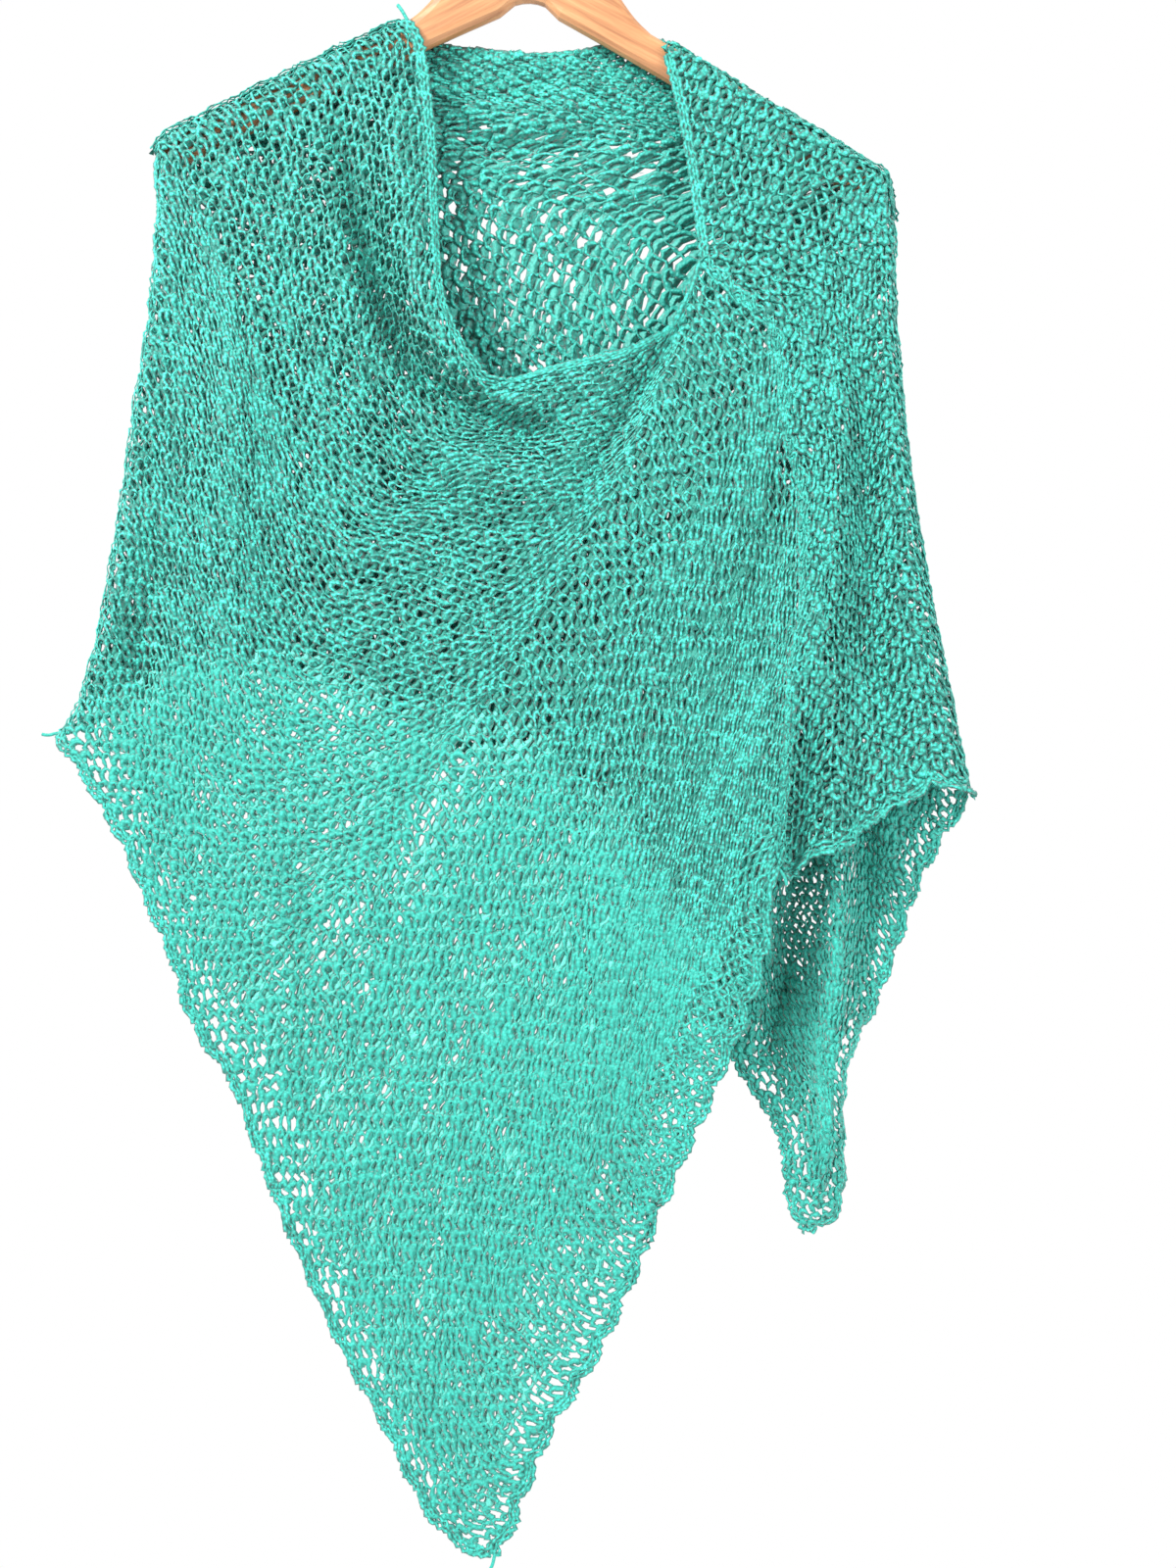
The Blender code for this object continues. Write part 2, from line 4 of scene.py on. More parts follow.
import bpy
import numpy as np
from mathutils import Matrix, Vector


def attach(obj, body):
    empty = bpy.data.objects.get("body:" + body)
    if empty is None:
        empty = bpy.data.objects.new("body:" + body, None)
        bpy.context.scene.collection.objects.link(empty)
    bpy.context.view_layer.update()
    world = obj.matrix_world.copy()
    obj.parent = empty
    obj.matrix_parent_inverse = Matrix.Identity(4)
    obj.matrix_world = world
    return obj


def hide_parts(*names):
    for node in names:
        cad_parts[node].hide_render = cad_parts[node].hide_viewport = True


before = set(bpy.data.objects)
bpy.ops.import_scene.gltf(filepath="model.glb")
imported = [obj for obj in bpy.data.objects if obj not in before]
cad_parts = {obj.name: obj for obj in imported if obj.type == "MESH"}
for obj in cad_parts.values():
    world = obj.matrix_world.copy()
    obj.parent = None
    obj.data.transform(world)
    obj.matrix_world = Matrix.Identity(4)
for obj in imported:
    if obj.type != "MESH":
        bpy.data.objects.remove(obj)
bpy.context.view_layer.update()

mm = 0.001

# The flat cloth: one knitted rectangle, rows running across its width
cloth = {
    "length": 1300.0,
    "width": 440.0,
    "rows": 248,
    "stitches": 46,
    "wall": 2.0,
    "foldGap": 0.35,
    "seamGap": 0.6,
    "cornerCut": 3.0,
    "seamStart": 135.0,
    "spacing": 5.0,
}

# The hanger's arms, which carry the folded edges
arms = {
    "tilt": math.radians(2.8),
    "clothHalfSpan": 222.5,
    "halfHeight": 10.0,
    "dropAtCentre": 101.3,
    "slope": 0.485,
    "curve": 0.000218,
    "clearance": 0.35,
    "leftStart": 71.0,
    "rightStart": 76.8,
}

# Edges of the hanging cloth in mm: across is to the right of the hook, drop is below it
leftFoldBelowShoulder = {
    "across": (-234, -233, -235, -239, -247, -253, -261, -270, -278, -286, -292),
    "drop": (222, 244, 271, 313, 361, 409, 457, 505, 532, 552, 558),
}
rightFoldBelowShoulder = {
    "across": (216, 217, 217, 220, 223, 228, 234, 240, 250, 255, 260, 263),
    "drop": (242, 258, 295, 331, 367, 409, 445, 481, 529, 556, 580, 598),
}
frontHem = {
    "across": (-27, -46, -67, -90, -116, -138, -158, -175, -184, -200, -212, -218, -238, -247, -276, -292),
    "drop": (1057, 1050, 1028, 981, 933, 885, 838, 791, 767, 745, 720, 696, 650, 627, 578, 558),
}
uprightRows = 6  # points of the front short end before it turns to run down to the front point
frontShortEnd = {
    "across": (144, 142, 138, 130, 123, 116, 96, 73, 55, 31, 6, -13, -20, -27),
    "drop": (641, 672, 696, 725, 755, 764, 790, 837, 885, 938, 979, 1026, 1045, 1057),
}
seamEdge = {
    "across": (144, 145, 148, 152, 158, 159, 158, 150, 145, 141, 119, 98),
    "drop": (641, 610, 569, 515, 488, 455, 406, 381, 336, 314, 293, 272),
}
frontNeck = {
    "across": (98, 90, 78, 54, 30, 6, -17, -29, -38, -51, -58, -62, -64, -69, -73),
    "drop": (272, 295, 313, 327, 334, 340, 348, 348, 338, 316, 295, 248, 195, 154, 134),
}
neckPointRow = {
    "across": (98, 93, 82, 62, 30, -8, -54, -105, -155, -192),
    "drop": (272, 292, 330, 377, 437, 500, 568, 637, 700, 757),
}
rightNeck = {
    "across": (74, 77, 82, 87, 91, 95, 98),
    "drop": (141, 151, 168, 192, 215, 245, 272),
}
backNeck = {
    "across": (-72, -63, -50, -31, -6, 18, 36, 55, 66),
    "drop": (126, 132, 135, 137, 139, 138, 135, 130, 129.5),
}
sleeveHem = {
    "across": (144, 153, 165, 176, 185, 196, 213, 230, 237, 249, 259, 263),
    "drop": (641, 640, 630, 623, 620, 610, 599, 589, 585, 586, 591, 598),
}
backShortEnd = {
    "across": (263, 257, 246, 234, 225, 216, 207, 197, 188, 188, 187, 181, 167),
    "drop": (598, 609, 626, 650, 674, 701, 725, 746, 774, 819, 843, 857, 867),
}
backHem = {
    "across": (
        -292, -268, -234, -207, -176, -143, -110, -73, -43, -6, 12, 33, 54, 74, 94, 125, 139, 150, 156, 167,
    ),
    "drop": (
        558, 546, 532, 521, 517, 520, 536, 550, 570, 583, 597, 626, 650, 680, 717, 766, 787, 808, 853, 867,
    ),
}

# How far the cloth hangs from the plane of the hanger, and how wide its folded edges round
frontHang = {"drop": (120, 200, 300, 420, 640, 850, 1065), "depth": (8.6, 10, 16, 20, 20, 15, 11)}
backHang = {"drop": (120, 200, 300, 450, 700, 870), "depth": (8.6, 10, 15, 18, 15, 11)}
edgeRounding = {"drop": (120, 230, 420, 700), "radius": (8.4, 8.4, 12, 14)}

foldDepth = 1.45  # how much deeper each fold of the tables below is drawn

# How finely the wrap and the back are drawn across, and their width in mm for the steps at their folds
netColumns = {
    "wrapFlat": 0.93,
    "wrapColumns": 26,
    "wrapWidth": 120,
    "backColumns": 80,
    "backWidth": 400,
}

# Folds: rise is towards the viewer on either half, width is how fast the fold dies away to its sides
frontFolds = {
    "cowl valley": {
        "across": (-124, -117, -109, -97, -82, -61, -35, -5, 18),
        "drop": (181, 212, 247, 289, 324, 351, 368, 379, 386),
        "width": (9, 9, 10, 10, 10, 10, 10, 10, 9),
        "rise": (0, -7, -10, -11, -12, -12, -10, -6, 0),
    },
    "cowl band": {
        "across": (-96, -91, -82, -73, -58, -41, -17, 15, 50),
        "drop": (165, 188, 236, 283, 321, 345, 358, 352, 338),
        "width": (12, 13, 14, 14, 14, 13, 13, 13, 12),
        "rise": (0, 6, 10, 12, 13, 12, 9, 5, 0),
    },
    "second ridge": {
        "across": (-136, -127, -121, -112, -96, -70, -35, 1, 40),
        "drop": (176, 212, 253, 303, 344, 384, 404, 410, 400),
        "width": (10, 12, 14, 15, 16, 17, 18, 18, 18),
        "rise": (0, 7, 9, 9, 9, 9, 9, 7, 0),
    },
    "second valley": {
        "across": (-105, -98, -85, -70, -58, -48),
        "drop": (330, 345, 371, 395, 413, 430),
        "width": (6, 7, 7, 7, 7, 7),
        "rise": (0, -5, -7, -7, -4, 0),
    },
    "neck point valley": {
        "across": (88, 83, 65, 45, 30, 24),
        "drop": (300, 315, 345, 380, 413, 430),
        "width": (8, 8, 9, 9, 9, 9),
        "rise": (0, -5, -7, -6, -3, 0),
    },
    "seam ridge": {
        "across": (188, 179, 176, 169, 159, 151, 148, 142, 135, 129),
        "drop": (312, 383, 436, 477, 513, 548, 584, 631, 684, 719),
        "width": (14, 14, 14, 14, 14, 13, 13, 13, 13, 13),
        "rise": (0, 4, 5, 6, 7, 7, 7, 6, 4, 0),
    },
    "valley beside the ridge": {
        "across": (149, 148, 140, 128, 118),
        "drop": (360, 413, 460, 507, 560),
        "width": (12, 13, 14, 14, 14),
        "rise": (0, -5, -5, -4, 0),
    },
    "arm valley": {
        "across": (190, 198, 198, 199, 204, 213, 222),
        "drop": (290, 348, 401, 471, 519, 554, 580),
        "width": (14, 13, 12, 12, 12, 11, 9),
        "rise": (0, -6, -8, -8, -8, -6, 0),
    },
    "sleeve ridge": {
        "across": (168, 172, 177, 179, 178),
        "drop": (470, 505, 548, 589, 625),
        "width": (9, 9, 9, 9, 9),
        "rise": (0, 4, 6, 7, 6),
    },
    "under the front edge": {
        "across": (164, 161, 157, 154),
        "drop": (540, 572, 601, 640),
        "width": (9, 9, 9, 9),
        "rise": (0, -5, -7, -8),
    },
    "left edge valley": {
        "across": (-226, -235, -241, -250),
        "drop": (430, 483, 519, 552),
        "width": (12, 13, 13, 12),
        "rise": (0, -6, -8, 0),
    },
    "left ridge": {
        "across": (-180, -184, -184, -178, -170),
        "drop": (270, 342, 410, 500, 600),
        "width": (16, 16, 17, 18, 18),
        "rise": (0, 4, 5, 3, 0),
    },
    "lower valley": {
        "across": (-132, -136, -137, -132, -120),
        "drop": (590, 648, 710, 770, 840),
        "width": (14, 14, 14, 14, 14),
        "rise": (0, -5, -6, -4, 0),
    },
    "lower ridge": {
        "across": (40, 40, 30, 15),
        "drop": (560, 680, 800, 920),
        "width": (26, 26, 24, 20),
        "rise": (0, 6, 6, 0),
    },
}
backFolds = {
    "flap ridge": {
        "across": (176, 182, 183, 180, 176, 168),
        "drop": (560, 626, 680, 741, 802, 850),
        "width": (12, 12, 12, 12, 12, 10),
        "rise": (0, 12, 14, 14, 12, 5),
    },
    "flap valley": {
        "across": (160, 158, 155, 150, 144, 145),
        "drop": (590, 638, 680, 717, 747, 790),
        "width": (8, 8, 8, 8, 8, 8),
        "rise": (0, -9, -12, -12, -9, 0),
    },
    "outer flap valley": {
        "across": (205, 202, 202, 200),
        "drop": (545, 600, 640, 700),
        "width": (10, 10, 10, 10),
        "rise": (0, -7, -8, 0),
    },
    "neck crease": {
        "across": (-60, -45, -25, 0, 15),
        "drop": (150, 158, 163, 161, 152),
        "width": (6, 7, 7, 7, 6),
        "rise": (0, -3, -4, -3, 0),
    },
    "lower neck crease": {
        "across": (-75, -60, -40, -10, 25, 60),
        "drop": (160, 178, 190, 197, 190, 165),
        "width": (8, 9, 9, 9, 9, 8),
        "rise": (0, -4, -5, -5, -4, 0),
    },
    "left drape": {
        "across": (-150, -115, -70, -30),
        "drop": (240, 350, 460, 560),
        "width": (20, 22, 22, 20),
        "rise": (0, -8, -8, 0),
    },
    "middle drape": {
        "across": (-5, 18, 45, 75),
        "drop": (270, 390, 520, 660),
        "width": (22, 24, 24, 20),
        "rise": (0, 7, 8, 0),
    },
    "right drape": {
        "across": (150, 130, 115, 110),
        "drop": (250, 380, 520, 690),
        "width": (18, 20, 20, 18),
        "rise": (0, -8, -9, 0),
    },
    "left hollow": {
        "across": (-200, -190, -185, -190),
        "drop": (270, 360, 440, 510),
        "width": (16, 18, 18, 16),
        "rise": (0, 5, 6, 0),
    },
}


# Where each edge lies on the flat cloth: the share of its own length, then of the cloth's length and width
garmentPlaces = {
    "left fold": ((0, 0.539, 0), (0.323, 0.539, 0.39), (1, 0.45, 1)),
    "right fold": ((0, 0.638, 0), (0.338, 0.762, 0.27), (1, 1, 0.31)),
    "front neck": ((0, 0.263, 0), (1, 0.539, 0)),
    "neck point row": ((0, 0.263, 0), (1, 0.263, 1)),
    "front short end": ((0, 0, 0), (1, 0, 1)),
    "front seam": ((0, 0.263, 0), (1, 0, 0)),
    "lower hem": ((0, 0, 1), (1, 0.263, 1)),
    "upper hem": ((0, 0.263, 1), (1, 0.45, 1)),
    "back neck": ((0, 0.539, 0), (1, 0.638, 0)),
    "back hem": ((0, 0.45, 1), (1, 1, 1)),
    "back short end": ((0, 1, 0.31), (1, 1, 1)),
    "sleeve hem": ((0, 1, 0), (1, 1, 0.31)),
    "wrap neck": ((0, 0.638, 0), (1, 0.737, 0)),
    "wrap seam": ((0, 0.737, 0), (1, 1, 0)),
}


def tilt(point):
    # turns a point of the upright hanger to hang as it does
    x, z = point
    turn = arms["tilt"]
    return (x * math.cos(turn) + z * math.sin(turn), z * math.cos(turn) - x * math.sin(turn))


def armPoint(x, offset):
    slope = arms["slope"] + 2 * arms["curve"] * x
    length = math.hypot(slope, 1)
    drop = arms["dropAtCentre"] + arms["slope"] * x + arms["curve"] * x * x
    return (x + offset * slope / length, -drop + offset / length)


def placesOf(table):
    return [(a, -d) for a, d in zip(table["across"], table["drop"])]


foldPoints = 4  # points drawn for each of a fold's table


def smoothLine(points, perSpan=12):
    # a dense line through the points, curved as a spline with a short reach
    points = np.array(points, float)
    ends = np.concatenate([[2 * points[0] - points[1]], points, [2 * points[-1] - points[-2]]])
    line = []
    for a, b, c, d in zip(ends, ends[1:], ends[2:], ends[3:]):
        near, span, far = (max(np.linalg.norm(q - p), 1e-6) ** 0.5 for p, q in ((a, b), (b, c), (c, d)))
        leave = (b - a) / near - (c - a) / (near + span) + (c - b) / span
        reach = (c - b) / span - (d - b) / (span + far) + (d - c) / far
        t = np.linspace(0, 1, perSpan, endpoint=False)[:, None]
        line.append(
            (2 * t**3 - 3 * t**2 + 1) * b
            + (t**3 - 2 * t**2 + t) * leave * span
            + (3 * t**2 - 2 * t**3) * c
            + (t**3 - t**2) * reach * span
        )
    line.append(points[-1:])
    return np.concatenate(line)


def runOf(line):
    return np.concatenate([[0], np.cumsum(np.linalg.norm(np.diff(line[:, :2], axis=0), axis=1))])


def sharesOf(line):
    run = runOf(line)
    return run / run[-1]


def along(line, shares):
    run = sharesOf(line)
    return np.stack([np.interp(shares, run, column) for column in line.T], axis=1)


def onGarment(line, name):
    # the line with two more columns: its places on the flat cloth
    share, length, width = np.array(garmentPlaces[name]).T
    run = sharesOf(line)
    return np.column_stack([line[:, :2], np.interp(run, share, length), np.interp(run, share, width)])


def movedAside(line, distance):
    heading = np.gradient(line[:, :2], axis=0)
    heading /= np.linalg.norm(heading, axis=1)[:, None]
    moved = line.copy()
    moved[:, :2] += distance * np.stack([heading[:, 1], -heading[:, 0]], axis=1)
    return moved


def shoulderFold(side, start, table):
    # the folded edge over one arm and down its side
    lift = arms["clearance"] + cloth["wall"] / 2
    last = arms["clothHalfSpan"] - arms["halfHeight"]
    over = [armPoint(x, arms["halfHeight"] + lift) for x in np.linspace(start, last, 9)]
    x, z = armPoint(last, 0.0)
    reach = arms["halfHeight"] + lift
    upright = math.atan2(1, arms["slope"] + 2 * arms["curve"] * last)
    end = [(x + reach * math.cos(e), z + reach * math.sin(e)) for e in np.linspace(upright, 0, 4)[1:]]
    return smoothLine([tilt((side * a, b)) for a, b in over + end] + placesOf(table))


def nearest(points, line):
    best = np.full(len(points), np.inf)
    where = np.zeros(len(points))
    for i, (a, b) in enumerate(zip(line, line[1:])):
        d = b - a
        t = np.clip(((points - a) @ d) / max(d @ d, 1e-12), 0, 1)
        gap = np.linalg.norm(points - a - t[:, None] * d, axis=1)
        closer = gap < best
        best[closer] = gap[closer]
        where[closer] = i + t[closer]
    return best, where


def foldRise(points, folds):
    # soft troughs and ridges along the folds' lines, each as deep and wide as its table says
    total = np.zeros(len(points))
    for table in folds.values():
        line = smoothLine(placesOf(table), foldPoints)
        gap, where = nearest(points, line)
        rows = np.arange(len(table["rise"])) * foldPoints
        width = np.interp(where, rows, table["width"])
        rise = np.interp(where, rows, table["rise"])
        total += rise * np.exp(-((gap / width) ** 2))
    return foldDepth * total


def hang(net, table, folds, foldLines):
    # how far the cloth stands from the hanger's plane, less round its folded edges
    points = net.reshape(-1, net.shape[-1])[:, :2]
    gap = np.full(len(points), np.inf)
    for line in foldLines:
        gap = np.minimum(gap, nearest(points, line[:, :2])[0])
    radius = np.interp(-points[:, 1], edgeRounding["drop"], edgeRounding["radius"])
    inside = np.clip(gap / radius, 0, 1)
    rounding = np.sqrt(1 - (1 - inside) ** 2)
    calm = np.clip(gap / (2 * radius), 0, 1)
    base = np.interp(-points[:, 1], table["drop"], table["depth"])
    return base * rounding, foldRise(points, folds) * calm


def patch(top, bottom, left, right):
    # a net of points between four edges, places on the flat cloth along with them
    s, t = sharesOf(top)[None, :, None], sharesOf(right)[:, None, None]
    across = (1 - t) * top[None] + t * bottom[None]
    down = (1 - s) * left[:, None] + s * right[:, None]
    corners = (1 - t) * ((1 - s) * top[0] + s * top[-1]) + t * ((1 - s) * bottom[0] + s * bottom[-1])
    return across + down - corners


def evenShares(line, start=0.0, end=1.0):
    steps = math.ceil((end - start) * runOf(line)[-1] / cloth["spacing"])
    return np.linspace(start, end, steps + 1)


def foldSteps(width):
    turn = np.radians(np.linspace(0, 90, 9))
    return edgeRounding["radius"][0] * (1 - np.cos(turn)) / width


def clothSurface(name, net, depth, facing):
    # the cloth's middle surface, with its places on the flat cloth as a UV map
    rows, columns = net.shape[:2]
    flat = net.reshape(-1, 4)
    verts = np.column_stack([flat[:, 0], -depth, flat[:, 1]]) * mm
    corner = np.arange(rows * columns).reshape(rows, columns)
    around = (corner[:-1, :-1], corner[1:, :-1], corner[1:, 1:], corner[:-1, 1:])
    faces = np.stack(around, axis=-1).reshape(-1, 4)
    across = verts[faces[:, 2]] - verts[faces[:, 0]]
    down = verts[faces[:, 3]] - verts[faces[:, 1]]
    if np.cross(across, down)[:, 1].sum() * facing < 0:
        faces = faces[:, ::-1]
    mesh = bpy.data.meshes.new(name)
    mesh.from_pydata(verts.tolist(), [], faces.tolist())
    places = mesh.uv_layers.new(name="garment")
    places.data.foreach_set("uv", flat[faces.reshape(-1), 2:].astype(np.float32).ravel())
    mesh.update()
    surface = bpy.data.objects.new(name, mesh)
    bpy.context.scene.collection.objects.link(surface)
    print(f"{name}: {len(faces)} faces")
    return surface


def drapeCloth():
    # the front half, the back half and the wedge over the right shoulder, as fine surfaces
    leftFold = onGarment(shoulderFold(-1, arms["leftStart"], leftFoldBelowShoulder), "left fold")
    rightFold = onGarment(shoulderFold(1, arms["rightStart"], rightFoldBelowShoulder), "right fold")
    seam = smoothLine(placesOf(seamEdge)[::-1])
    hem = smoothLine(placesOf(frontHem))
    surfaces = {}

    # Over the right shoulder
    rightLength = runOf(rightFold)[-1]
    split = cloth["seamStart"] / rightLength
    besideNeck = evenShares(rightFold, cloth["cornerCut"] / rightLength, split)
    besideSeam = evenShares(rightFold, split, 1.0)
    neck = onGarment(smoothLine([tuple(rightFold[0, :2])] + placesOf(rightNeck)), "wrap neck")
    neckRows = along(neck, besideNeck / split)
    seamRows = along(onGarment(seam, "wrap seam"), (besideSeam - split) / (1 - split))
    seamSide = movedAside(np.concatenate([neckRows[:-1], seamRows]), -cloth["seamGap"])
    foldSide = along(rightFold, np.concatenate([besideNeck[:-1], besideSeam]))
    flat = np.linspace(0, netColumns["wrapFlat"], netColumns["wrapColumns"])
    s = np.concatenate([flat, 1 - foldSteps(netColumns["wrapWidth"])[-2::-1]])
    sleeve = onGarment(smoothLine(placesOf(sleeveHem)), "sleeve hem")
    peak = along(np.array([seamSide[0], foldSide[0]]), s)
    net = patch(peak, along(sleeve, s), seamSide, foldSide)
    base, rise = hang(net, frontHang, frontFolds, [rightFold])
    surfaces["wrap"] = clothSurface("surface_wrap", net, cloth["foldGap"] + base + rise, -1)

    # Front half, in two nets that meet at the row through the neck point
    shortEnd = placesOf(frontShortEnd)
    endLine = onGarment(smoothLine(shortEnd), "front short end")
    corner = int(np.argmin(np.linalg.norm(endLine[:, :2] - shortEnd[uprightRows - 1], axis=1)))
    upright = endLine[corner::-1]
    middleRow = smoothLine(placesOf(neckPointRow))
    middle = int(np.argmin(np.linalg.norm(hem - middleRow[-1], axis=1)))
    middleRow[-1] = hem[middle]
    middleRow = onGarment(middleRow, "neck point row")
    t = evenShares(leftFold)
    seamUp = onGarment(seam, "front seam")[::-1]
    innerEdge = np.concatenate([along(upright, evenShares(upright))[:-1], along(seamUp, evenShares(seamUp))])
    lowerHem = along(onGarment(hem[: middle + 1], "lower hem"), sharesOf(innerEdge))
    rightNet = patch(innerEdge, lowerHem, along(endLine[corner:], t), along(middleRow, t))
    neck = onGarment(smoothLine(placesOf(frontNeck) + [tuple(leftFold[0, :2])]), "front neck")
    last = foldSteps(runOf(neck)[-1])
    s = np.concatenate([evenShares(neck, 0, 1 - last[-1])[:-1], 1 - last[::-1]])
    upperHem = along(onGarment(hem[middle:], "upper hem"), s)
    leftNet = patch(along(neck, s), upperHem, along(middleRow, t), along(leftFold, t))
    net = np.concatenate([rightNet, leftNet[:, 1:]], axis=1)
    base, rise = hang(net, frontHang, frontFolds, [leftFold])
    surfaces["front"] = clothSurface("surface_front", net, cloth["foldGap"] + base + rise, -1)

    # Back half
    neck = smoothLine([tuple(leftFold[0, :2])] + placesOf(backNeck) + [tuple(rightFold[0, :2])])
    neck = onGarment(neck, "back neck")
    endLine = onGarment(smoothLine(placesOf(backShortEnd)), "back short end")
    rightSide = np.concatenate([rightFold, endLine[1:]])
    steps = foldSteps(netColumns["backWidth"])
    flat = np.linspace(steps[-1], 1 - steps[-1], netColumns["backColumns"])[1:-1]
    s = np.concatenate([steps, flat, 1 - steps[::-1]])
    t = evenShares(rightSide)
    backEdge = along(onGarment(smoothLine(placesOf(backHem)), "back hem"), s)
    net = patch(along(neck, s), backEdge, along(leftFold, t), along(rightSide, t))
    base, rise = hang(net, backHang, backFolds, [leftFold, rightFold])
    surfaces["back"] = clothSurface("surface_back", net, rise - base - cloth["foldGap"], 1)
    return surfaces


class Field:
    # a value in a node tree: plain sums on it make Math nodes
    def __init__(self, socket):
        self.socket = socket

    def math(self, operation, *others):
        node = addNode(self.socket.id_data, "ShaderNodeMath", operation=operation)
        for socket, value in zip(node.inputs, (self, *others)):
            join(socket, value)
        return first(node)

    def __add__(self, other):
        return self.math("ADD", other)

    def __sub__(self, other):
        return self.math("SUBTRACT", other)

    def __rsub__(self, number):
        return self * -1.0 + number

    def __mul__(self, other):
        return self.math("MULTIPLY", other)

    def __truediv__(self, other):
        return self.math("DIVIDE", other)


def addNode(tree, kind, given={}, **settings):
    # a node with its settings, then its inputs by the names that those settings show
    node = tree.nodes.new(kind)
    for key, value in settings.items():
        setattr(node, key, value)
    for name, value in given.items():
        plug(node, name, value)
    return node


def join(socket, value):
    if isinstance(value, Field):
        socket.id_data.links.new(value.socket, socket)
    else:
        socket.default_value = value


def plug(node, name, value):
    join(next(s for s in node.inputs if s.name == name and s.enabled), value)


def outlet(node, name):
    return Field(next(s for s in node.outputs if s.name == name and s.enabled))


def first(node):
    return Field(node.outputs[0])


def vector(tree, x, y, z=0.0):
    return first(addNode(tree, "ShaderNodeCombineXYZ", {"X": x, "Y": y, "Z": z}))


def partsOf(tree, value):
    return [Field(part) for part in addNode(tree, "ShaderNodeSeparateXYZ", {"Vector": value}).outputs]


def noise(tree, place, scale, detail=2.0):
    return addNode(tree, "ShaderNodeTexNoise", {"Vector": place, "Scale": scale, "Detail": detail})


def smoothStep(tree, value, low, high):
    given = {"Value": value, "From Min": low, "From Max": high}
    return outlet(addNode(tree, "ShaderNodeMapRange", given, interpolation_type="SMOOTHSTEP"), "Result")


def randomParts(tree, index, seed):
    # three even random numbers from -1 to 1 for each point
    given = {"Min": (-1, -1, -1), "Max": (1, 1, 1), "ID": index, "Seed": seed}
    node = addNode(tree, "FunctionNodeRandomValue", given, data_type="FLOAT_VECTOR")
    return partsOf(tree, outlet(node, "Value"))


def vectorMath(tree, operation, *vectors):
    node = addNode(tree, "ShaderNodeVectorMath", operation=operation)
    for socket, value in zip(node.inputs, vectors):
        join(socket, value)
    return node


def movedAlong(tree, place, direction, distance):
    step = vectorMath(tree, "SCALE", direction)
    plug(step, "Scale", distance)
    return first(vectorMath(tree, "ADD", place, first(step)))


def newTree(name, sizes):
    tree = bpy.data.node_groups.new(name, "GeometryNodeTree")
    for way in ("INPUT", "OUTPUT"):
        tree.interface.new_socket("Geometry", in_out=way, socket_type="NodeSocketGeometry")
    for label, value in sizes.items():
        kind = "NodeSocketInt" if isinstance(value, int) else "NodeSocketFloat"
        tree.interface.new_socket(label, in_out="INPUT", socket_type=kind).default_value = value
    tree.interface.new_socket("Material", in_out="INPUT", socket_type="NodeSocketMaterial")
    return tree, addNode(tree, "NodeGroupInput"), addNode(tree, "NodeGroupOutput")


def runTree(source, tree, name, values, material):
    # the tree's result on the source object as a plain mesh in an object of its own
    modifier = source.modifiers.new("maker", "NODES")
    modifier.node_group = tree
    for item in tree.interface.items_tree:
        if item.in_out == "INPUT" and item.name in values:
            modifier[item.identifier] = values[item.name]
        elif item.in_out == "INPUT" and item.name == "Material":
            modifier[item.identifier] = material
    bpy.context.view_layer.update()
    mesh = bpy.data.meshes.new_from_object(source.evaluated_get(bpy.context.evaluated_depsgraph_get()))
    source.modifiers.remove(modifier)
    return newPiece(name, mesh)


def newPiece(name, mesh):
    mesh.name = name
    piece = bpy.data.objects.new(name, mesh)
    bpy.context.scene.collection.objects.link(piece)
    print(f"{name}: {sum(len(face.vertices) - 2 for face in mesh.polygons)} triangles")
    return piece


def stored(tree, geometry, name, kind, value):
    given = {"Geometry": geometry, "Name": name, "Value": value}
    return first(addNode(tree, "GeometryNodeStoreNamedAttribute", given, data_type=kind, domain="POINT"))


def recalled(tree, name, kind):
    node = addNode(tree, "GeometryNodeInputNamedAttribute", {"Name": name}, data_type=kind)
    return outlet(node, "Attribute")


rim = 0.0015  # share of the cloth at its very edge, where a place is moved in so that a sample finds it


def keptOffRim(share):
    return share.math("MAXIMUM", rim).math("MINIMUM", 1 - rim)


def onSurface(tree, source, x, y):
    # the place and the outward direction on the surface at the given place of the flat cloth
    found = []
    for kind in ("GeometryNodeInputPosition", "GeometryNodeInputNormal"):
        given = {
            "Mesh": outlet(source, "Geometry"),
            "Value": first(addNode(tree, kind)),
            "UV Map": recalled(tree, "garment", "FLOAT_VECTOR"),
            "Sample UV": vector(tree, x, y),
        }
        found.append(addNode(tree, "GeometryNodeSampleUVSurface", given, data_type="FLOAT_VECTOR"))
    return outlet(found[0], "Value"), outlet(found[1], "Value"), outlet(found[0], "Is Valid")


